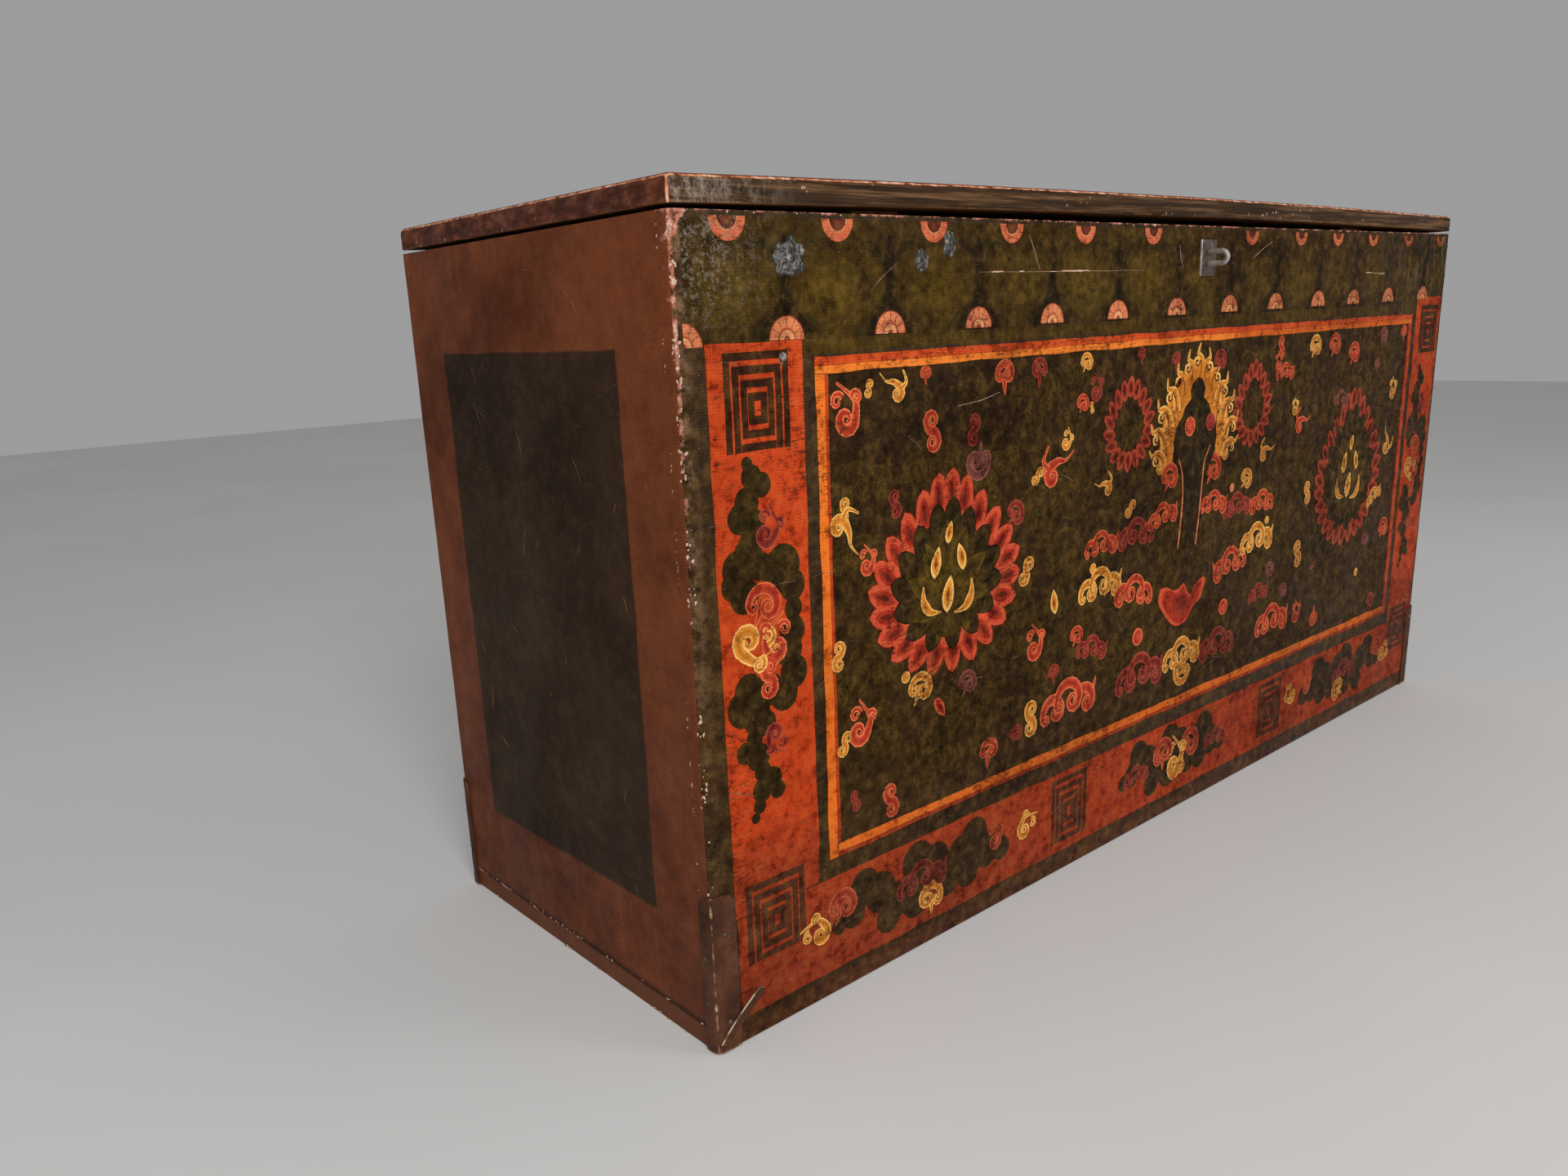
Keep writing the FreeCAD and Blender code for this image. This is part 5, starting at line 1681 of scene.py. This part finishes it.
def cap_path():
    """Plan of a cap round the right back corner, from the long side to the end."""
    turn_x, turn_y = half_long - CORNER_ROUND, half_deep - CORNER_ROUND
    path = []
    for i in range(CAP_FLAT_STEPS):
        run = (CAP_LONG_REACH - CORNER_ROUND) * i / CAP_FLAT_STEPS
        path.append((half_long - CAP_LONG_REACH + run, half_deep + CAP, 0.0, 1.0))
    path += quarter_turn(turn_x, turn_y, CORNER_ROUND + CAP, pi / 2, -pi / 2)
    for i in range(1, CAP_END_STEPS + 1):
        run = (CAP_END_REACH - CORNER_ROUND) * i / CAP_END_STEPS
        path.append((half_long + CAP, turn_y - run, 1.0, 0.0))
    return path


def hide_cap(name, side_x, side_y):
    """Hide folded round a lower corner, with ragged edges and a scuffed fold."""
    low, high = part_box(name)
    near = side_x < 0 and side_y < 0
    tall = high.z - low.z + (NEAR_CAP_EXTRA if near else 0.0)
    path = cap_path()
    last = len(path) - 1
    corners, wear = [], []
    for layer in (0, 1):
        for k in range(CAP_ROWS + 1):
            for i, (x, y, nx, ny) in enumerate(path):
                at_edge = i in (0, last)
                drop = 5 * MM * ease(1.0, 0.0, min(i, last - i) / 5) ** 2
                drop += 2.2 * MM * (1 + rough(side_x * x, side_y * y, 0.4, 260.0))
                z = low.z + (tall - drop) * k / CAP_ROWS
                thin = 0.35 * MM * (1 + rough(side_x * x, side_y * y, z, 110.0)) * 0.6
                depth = thin if layer == 0 else CAP
                slide = 1.1 * MM * (rough(side_x, side_y, z, 130.0) - 0.8) if at_edge else 0.0
                px = x - nx * depth - (slide if i == 0 else 0.0)
                py = y - ny * depth - (slide if i == last else 0.0)
                corners.append((side_x * px, side_y * py, z))
                fold = (0.72 + 0.5 * rough(side_x, side_y, z, 210.0)) * ease(0.36, 0.5, nx * ny)
                rim = 0.5 if at_edge or k in (0, CAP_ROWS) else 0.0
                foot = max(0.34 * ease(30 * MM, 4 * MM, z), 0.8 * ease(7 * MM, 1 * MM, z))
                wear.append(max(fold, rim, foot))
    piece = worn_piece(name + "_hide", corners, sheet_faces(CAP_ROWS + 1, len(path)), wear, 60)
    piece.data.materials.append(hide)
    settle(piece, "carcass", "hide", name)


FLAP_STEPS = 36
FLAP_COLUMNS = 10


def peeled_flap():
    """Strip of hide that has sprung off the near cap, curled at its rounded tip."""
    foot = Vector((-half_long + 5 * MM, -half_deep - CAP, 5 * MM))
    along = Vector((cos(FLAP_SLANT), 0.0, sin(FLAP_SLANT)))
    aside = Vector((-along.z, 0.0, along.x))
    out = Vector((0.0, -1.0, 0.0))
    round_tip = FLAP_WIDTH / 2
    corners, wear = [], []
    for top in (FLAP_THICK * 0.75, 0.0):
        for i in range(FLAP_STEPS + 1):
            share = i / FLAP_STEPS
            reach = FLAP_LENGTH * share
            past = max(reach - (FLAP_LENGTH - round_tip), 0.0)
            half = sqrt(max(round_tip ** 2 - past ** 2, (0.3 * MM) ** 2))
            half *= 1 - 0.12 * rough(share * 6, 0.0, 0.0, 1.0) ** 2 - 0.2 * ease(0.3, 0.0, share)
            frayed = 0.9 + 0.2 * rough(share * 9, 0.5, 0.0, 1.0)
            for j in range(FLAP_COLUMNS + 1):
                side = 2 * j / FLAP_COLUMNS - 1
                cup = 0.8 * MM * side ** 2 * share
                lift = FLAP_RISE * share ** 2 * 0.86 + cup * 0.5 + top
                corners.append(tuple(foot + along * reach + aside * (round_tip + half * side) + out * lift))
                wear.append(frayed if side > 0.9 else 0.5 if side < -0.9 or share > 0.94 else 0.12)
    piece = worn_piece("peeled_flap", corners, sheet_faces(FLAP_STEPS + 1, FLAP_COLUMNS + 1), wear, 60)
    piece.data.materials.append(hide)
    settle(piece, "carcass", "hide", "hide_flap")


# Lock plate and staple

def lock_plate():
    """Forged plate with one clipped corner and softened edges, its left sides in bright iron: rubbed bare,
    and a painted highlight on the side towards the light.
    """
    low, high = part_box("lock_plate")
    outline = [(low.x, low.z), (high.x - PLATE_CLIP, low.z), (high.x, low.z + PLATE_CLIP), (high.x, high.z),
               (low.x, high.z)]
    plate = bmesh.new()
    foot = plate.faces.new([plate.verts.new((x, high.y, z)) for x, z in outline])
    raised = bmesh.ops.extrude_face_region(plate, geom=[foot])["geom"]
    for item in raised:
        if isinstance(item, bmesh.types.BMVert):
            item.co.y = low.y
    bmesh.ops.recalc_face_normals(plate, faces=plate.faces)
    rim = [edge for edge in plate.edges if all(abs(v.co.y - low.y) < SAME_PLACE for v in edge.verts)]
    bmesh.ops.bevel(plate, geom=rim, offset=PLATE_BEVEL, segments=3, profile=0.6, affect="EDGES")
    piece = new_mesh_object("forged_plate", [], [])
    plate.to_mesh(piece.data)
    plate.free()
    piece.data.materials.append(iron)
    piece.data.materials.append(bare_and_highlit_iron)
    # Sides that face left take the bright iron: a painted highlight as well as rubbing.
    for face in piece.data.polygons:
        face.material_index = 1 if face.normal.x < -0.5 else 0
    shade_smooth(piece, 50)
    settle(piece, "carcass", "iron", "lock_plate")


STAPLE_SIDES = 14
STAPLE_STEPS = 12


def staple_path(low, high):
    """Middle line of the staple from its upper clenched leg to the lower one, as (y, z off its middle)."""
    inside = high.y - STAPLE_ROD
    clench = (high.z - low.z) / 2 - STAPLE_ROD * 0.1
    bow_y = low.y + STAPLE_WORN + STAPLE_ROD + STAPLE_LEG
    leg_y = inside - STAPLE_BEND
    path = [(inside, clench), (inside, STAPLE_LEG + STAPLE_BEND), (inside - 1 * MM, STAPLE_LEG + 0.8 * MM)]
    for i in range(STAPLE_STEPS):
        path.append((leg_y + (bow_y - leg_y) * i / STAPLE_STEPS, STAPLE_LEG))
    leg = [(y, -z) for y, z in reversed(path)]
    for i in range(STAPLE_STEPS + 1):
        angle = pi / 2 - pi * i / STAPLE_STEPS
        path.append((bow_y - STAPLE_LEG * cos(angle), STAPLE_LEG * sin(angle)))
    return path + leg


def lock_staple():
    """The loop of the staple, which stands out of its plate."""
    low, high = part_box("lock_staple")
    middle_x, middle_z = (low.x + high.x) / 2, (low.z + high.z) / 2
    path = staple_path(low, high)
    corners, faces = [], []
    for i, (y, z) in enumerate(path):
        y0, z0 = path[max(i - 1, 0)]
        y1, z1 = path[min(i + 1, len(path) - 1)]
        run = hypot(y1 - y0, z1 - z0)
        ny, nz = -(z1 - z0) / run, (y1 - y0) / run
        radius = STAPLE_ROD * (1 - 0.07 * (1 + rough(y, z, 0.2, 160.0)))
        for k in range(STAPLE_SIDES):
            angle = 2 * pi * k / STAPLE_SIDES
            side, up = radius * cos(angle), radius * sin(angle)
            corners.append((middle_x + side, y + ny * up, middle_z + z + nz * up))
    for start in range(0, len(corners) - STAPLE_SIDES, STAPLE_SIDES):
        for k in range(STAPLE_SIDES):
            a, b = start + k, start + (k + 1) % STAPLE_SIDES
            faces.append((a, b, b + STAPLE_SIDES, a + STAPLE_SIDES))
    faces.append(tuple(range(STAPLE_SIDES)))
    faces.append(tuple(reversed(range(len(corners) - STAPLE_SIDES, len(corners)))))
    piece = new_mesh_object("forged_staple", corners, faces)
    outward(piece)
    piece.data.materials.append(bare_and_highlit_iron)
    shade_smooth(piece, 60)
    settle(piece, "carcass", "iron", "lock_staple")


# Lid boards

TINY = 1e-7
JOINT_SOFT = 0.7 * MM
ROUNDING_STEPS = (0.0, 0.5 * MM, 1.2 * MM, 2.1 * MM, 3.2 * MM, LID_ROUND)


def edge_steps(low, high, round_low, round_high):
    """Places along one side of a board, close together where its edges are rounded."""
    places = [low + step for step in ROUNDING_STEPS] if round_low else [low]
    ends = [high - step for step in reversed(ROUNDING_STEPS)] if round_high else [high]
    start, stop = places[-1], ends[0]
    count = max(int((stop - start) / SKIN_STEP), 1)
    places += [start + (stop - start) * i / count for i in range(1, count)]
    return places + ends


def lid_bow(x):
    return LID_BOW * (1 - (x / half_long) ** 2)


def lid_board(name, y0, y1):
    """One lid board: sharp below and at the joint, worn round above and at the outer corners."""
    front = y0 < -half_deep + 1 * MM
    low_z, high_z = lid_front_low.z, lid_front_low.z + LID_THICK
    xs = edge_steps(-half_long, half_long, True, True)
    ys = edge_steps(y0, y1, front, not front)
    zs = edge_steps(low_z, high_z, False, True)
    core_low = Vector((-half_long + LID_ROUND, y0 + LID_ROUND if front else y0, low_z))
    core_high = Vector((half_long - LID_ROUND, y1 if front else y1 - LID_ROUND, high_z - LID_ROUND))
    last_x, last_y, last_z = len(xs) - 1, len(ys) - 1, len(zs) - 1
    outer_j, joint_j = (0, last_y) if front else (last_y, 0)
    corners, wear, seen = [], [], {}

    def corner(i, j, k):
        if (i, j, k) in seen:
            return seen[(i, j, k)]
        spot = Vector((xs[i], ys[j], zs[k]))
        core = Vector([min(max(value, lo), hi) for value, lo, hi in zip(spot, core_low, core_high)])
        away = spot - core
        bared = 0.0
        if away.length > TINY:
            parts = sorted(abs(value) for value in away)
            bared = parts[1] / parts[2]
            if parts[1] > TINY:
                spot = core + away.normalized() * min(away.length, LID_ROUND)
        nick = 0.9 * MM * max(rough(spot.x, spot.y, spot.z, 70.0), 0.0) * bared
        dent = 0.14 * MM * (1 + rough(spot.x, spot.y, spot.z, 35.0))
        if away.length > TINY:
            spot -= away.normalized() * (nick + dent)
        if k == 0 and j != joint_j and (i in (0, last_x) or j == outer_j):
            spot.z += 1.3 * MM * max(rough(spot.x, spot.y, 0.6, 55.0) + 0.2, 0.0)
        if j == joint_j and k in (0, last_z):
            spot.y += -JOINT_SOFT if front else JOINT_SOFT
        worn = 0.86 * ease(0.2, 0.8, bared)
        if spot.y < -half_deep + 8 * MM:
            worn = max(worn, 0.35 * ease(half_long - 22 * MM, half_long, abs(spot.x)))
        wear.append(worn)
        corners.append((spot.x, spot.y, spot.z + lid_bow(spot.x)))
        seen[(i, j, k)] = len(corners) - 1
        return seen[(i, j, k)]

    faces = []

    def add_face(spots, flip):
        loop = [corner(*spot) for spot in spots]
        faces.append(tuple(reversed(loop)) if flip else tuple(loop))

    for i in range(last_x):
        for j in range(last_y):
            for k in (0, last_z):
                add_face(((i, j, k), (i + 1, j, k), (i + 1, j + 1, k), (i, j + 1, k)), k == 0)
        for k in range(last_z):
            for j in (0, last_y):
                add_face(((i, j, k), (i + 1, j, k), (i + 1, j, k + 1), (i, j, k + 1)), j > 0)
    for j in range(last_y):
        for k in range(last_z):
            for i in (0, last_x):
                add_face(((i, j, k), (i, j + 1, k), (i, j + 1, k + 1), (i, j, k + 1)), i == 0)
    piece = worn_piece(name + "_worn", corners, faces, wear, 45)
    for finish in (lid_top, lid_edge, lid_end, long_board):
        piece.data.materials.append(finish)
    for face in piece.data.polygons:
        if face.normal.z > 0.6:
            face.material_index = 0
        elif face.normal.z < -0.6 or abs(face.center.y - ys[joint_j]) < 0.1 * MM:
            face.material_index = 3
        else:
            face.material_index = 2 if abs(face.normal.x) > 0.7 else 1
    settle(piece, "lid", "lid_paint", name)


# Build the trunk

cloth_skins()
valance()
plain_panels("painted_field", DARK_FIELD, FIELD_LIFT)
ghost_scrolls()
plain_panels("painted_band", RED_BAND, BAND_LIFT)
plain_panels("painted_frame", INNER_FRAME, FRAME_LIFT)
border_lobes, border_clouds = scroll_places()
border_scrolls(border_lobes)
key_frets()
rosette_rows()
wreaths()
lotus_hearts()
flaming_jewel()
offering_bowl()
cloud_field(border_clouds)
cracks_and_scratches()
hair_scratches()
edge_flakes()
varnish_blisters()
for cap_y, long_side in ((-1, "front"), (1, "back")):
    for cap_x, end_side in ((-1, "left"), (1, "right")):
        hide_cap("cap_%s_%s" % (long_side, end_side), cap_x, cap_y)
peeled_flap()
lock_plate()
lock_staple()
lid_board("lid_front_plank", lid_front_low.y, lid_front_high.y)
lid_board("lid_back_plank", lid_back_low.y, lid_back_high.y)

# Finishes on the solids that show as they are: boards along the trunk or across it, and forged iron

ACROSS = ("left_upper_plank", "left_lower_plank", "right_upper_plank", "right_lower_plank",
          "left_batten", "right_batten")
for node_name, node in frame["nodes"].items():
    if "hinge" in node_name or "nails" in node_name:
        finish = iron
    elif node_name in ACROSS:
        finish = cross_board
    elif node_name.startswith("bottom"):
        finish = foot_board
    else:
        finish = long_board
    node.data.materials.clear()
    node.data.materials.append(finish)

for stamp in list(motif_collection.objects):
    bpy.data.objects.remove(stamp)
bpy.data.collections.remove(motif_collection)

# Floor, light and camera

FLOOR_HALF = 6.0
floor_corners = [(x * FLOOR_HALF, y * FLOOR_HALF, 0.0) for x, y in ((-1, -1), (1, -1), (1, 1), (-1, 1))]
floor = new_mesh_object("floor", floor_corners, [(0, 1, 2, 3)])
floor.data.materials.append(floor_finish("studio_floor", paint(225, 224, 222)))

LIT_MIDDLE = (0.0, 0.0, 0.28)
KEY_PLACE, KEY_SIZE, KEY_WATTS = (-1.6, -2.3, 1.9), 1.5, 56.0
SHEEN_PLACE, SHEEN_SIZE, SHEEN_WATTS = (1.15, -2.35, 0.78), 1.0, 15.0
ROOM_STRENGTH = 0.4


def soft_box(name, place, size, watts):
    lamp = bpy.data.lights.new(name, "AREA")
    lamp.shape = "DISK"
    lamp.size = size
    lamp.energy = watts
    holder = bpy.data.objects.new(name, lamp)
    holder.location = place
    holder.rotation_euler = (Vector(LIT_MIDDLE) - Vector(place)).to_track_quat("-Z", "Y").to_euler()
    bpy.context.scene.collection.objects.link(holder)


soft_box("key_light", KEY_PLACE, KEY_SIZE, KEY_WATTS)
soft_box("sheen_light", SHEEN_PLACE, SHEEN_SIZE, SHEEN_WATTS)
world = bpy.data.worlds.new("studio")
world.use_nodes = True
backdrop = world.node_tree.nodes["Background"]
backdrop.inputs["Color"].default_value = paint(236, 236, 236)
backdrop.inputs["Strength"].default_value = ROOM_STRENGTH
bpy.context.scene.world = world
bpy.context.scene.view_settings.view_transform = "Standard"

IMAGE_WIDE = 1920
FOCAL_PIXELS = 1408.1
OFF_CENTRE = (25.3, 46.5)
SENSOR_WIDE = 36.0
CAMERA_PLACE = Vector((-936.9, -711.1, 467.5)) * MM
AZIMUTH, PITCH, ROLL = radians(39.791), radians(14.778), radians(-2.591)
forward = Vector((sin(AZIMUTH) * cos(PITCH), cos(AZIMUTH) * cos(PITCH), -sin(PITCH)))
level = Vector((cos(AZIMUTH), -sin(AZIMUTH), 0.0))
above = level.cross(forward)
right = level * cos(ROLL) + above * sin(ROLL)
up = above * cos(ROLL) - level * sin(ROLL)
lens = bpy.data.cameras.new("camera")
lens.sensor_fit = "HORIZONTAL"
lens.sensor_width = SENSOR_WIDE
lens.lens = SENSOR_WIDE * FOCAL_PIXELS / IMAGE_WIDE
lens.shift_x = OFF_CENTRE[0] / IMAGE_WIDE
lens.shift_y = OFF_CENTRE[1] / IMAGE_WIDE
lens.clip_start = 0.01
camera = bpy.data.objects.new("camera", lens)
turned = Matrix((right, up, -forward)).transposed().to_4x4()
camera.matrix_world = Matrix.Translation(CAMERA_PLACE) @ turned
bpy.context.scene.collection.objects.link(camera)
bpy.context.scene.camera = camera
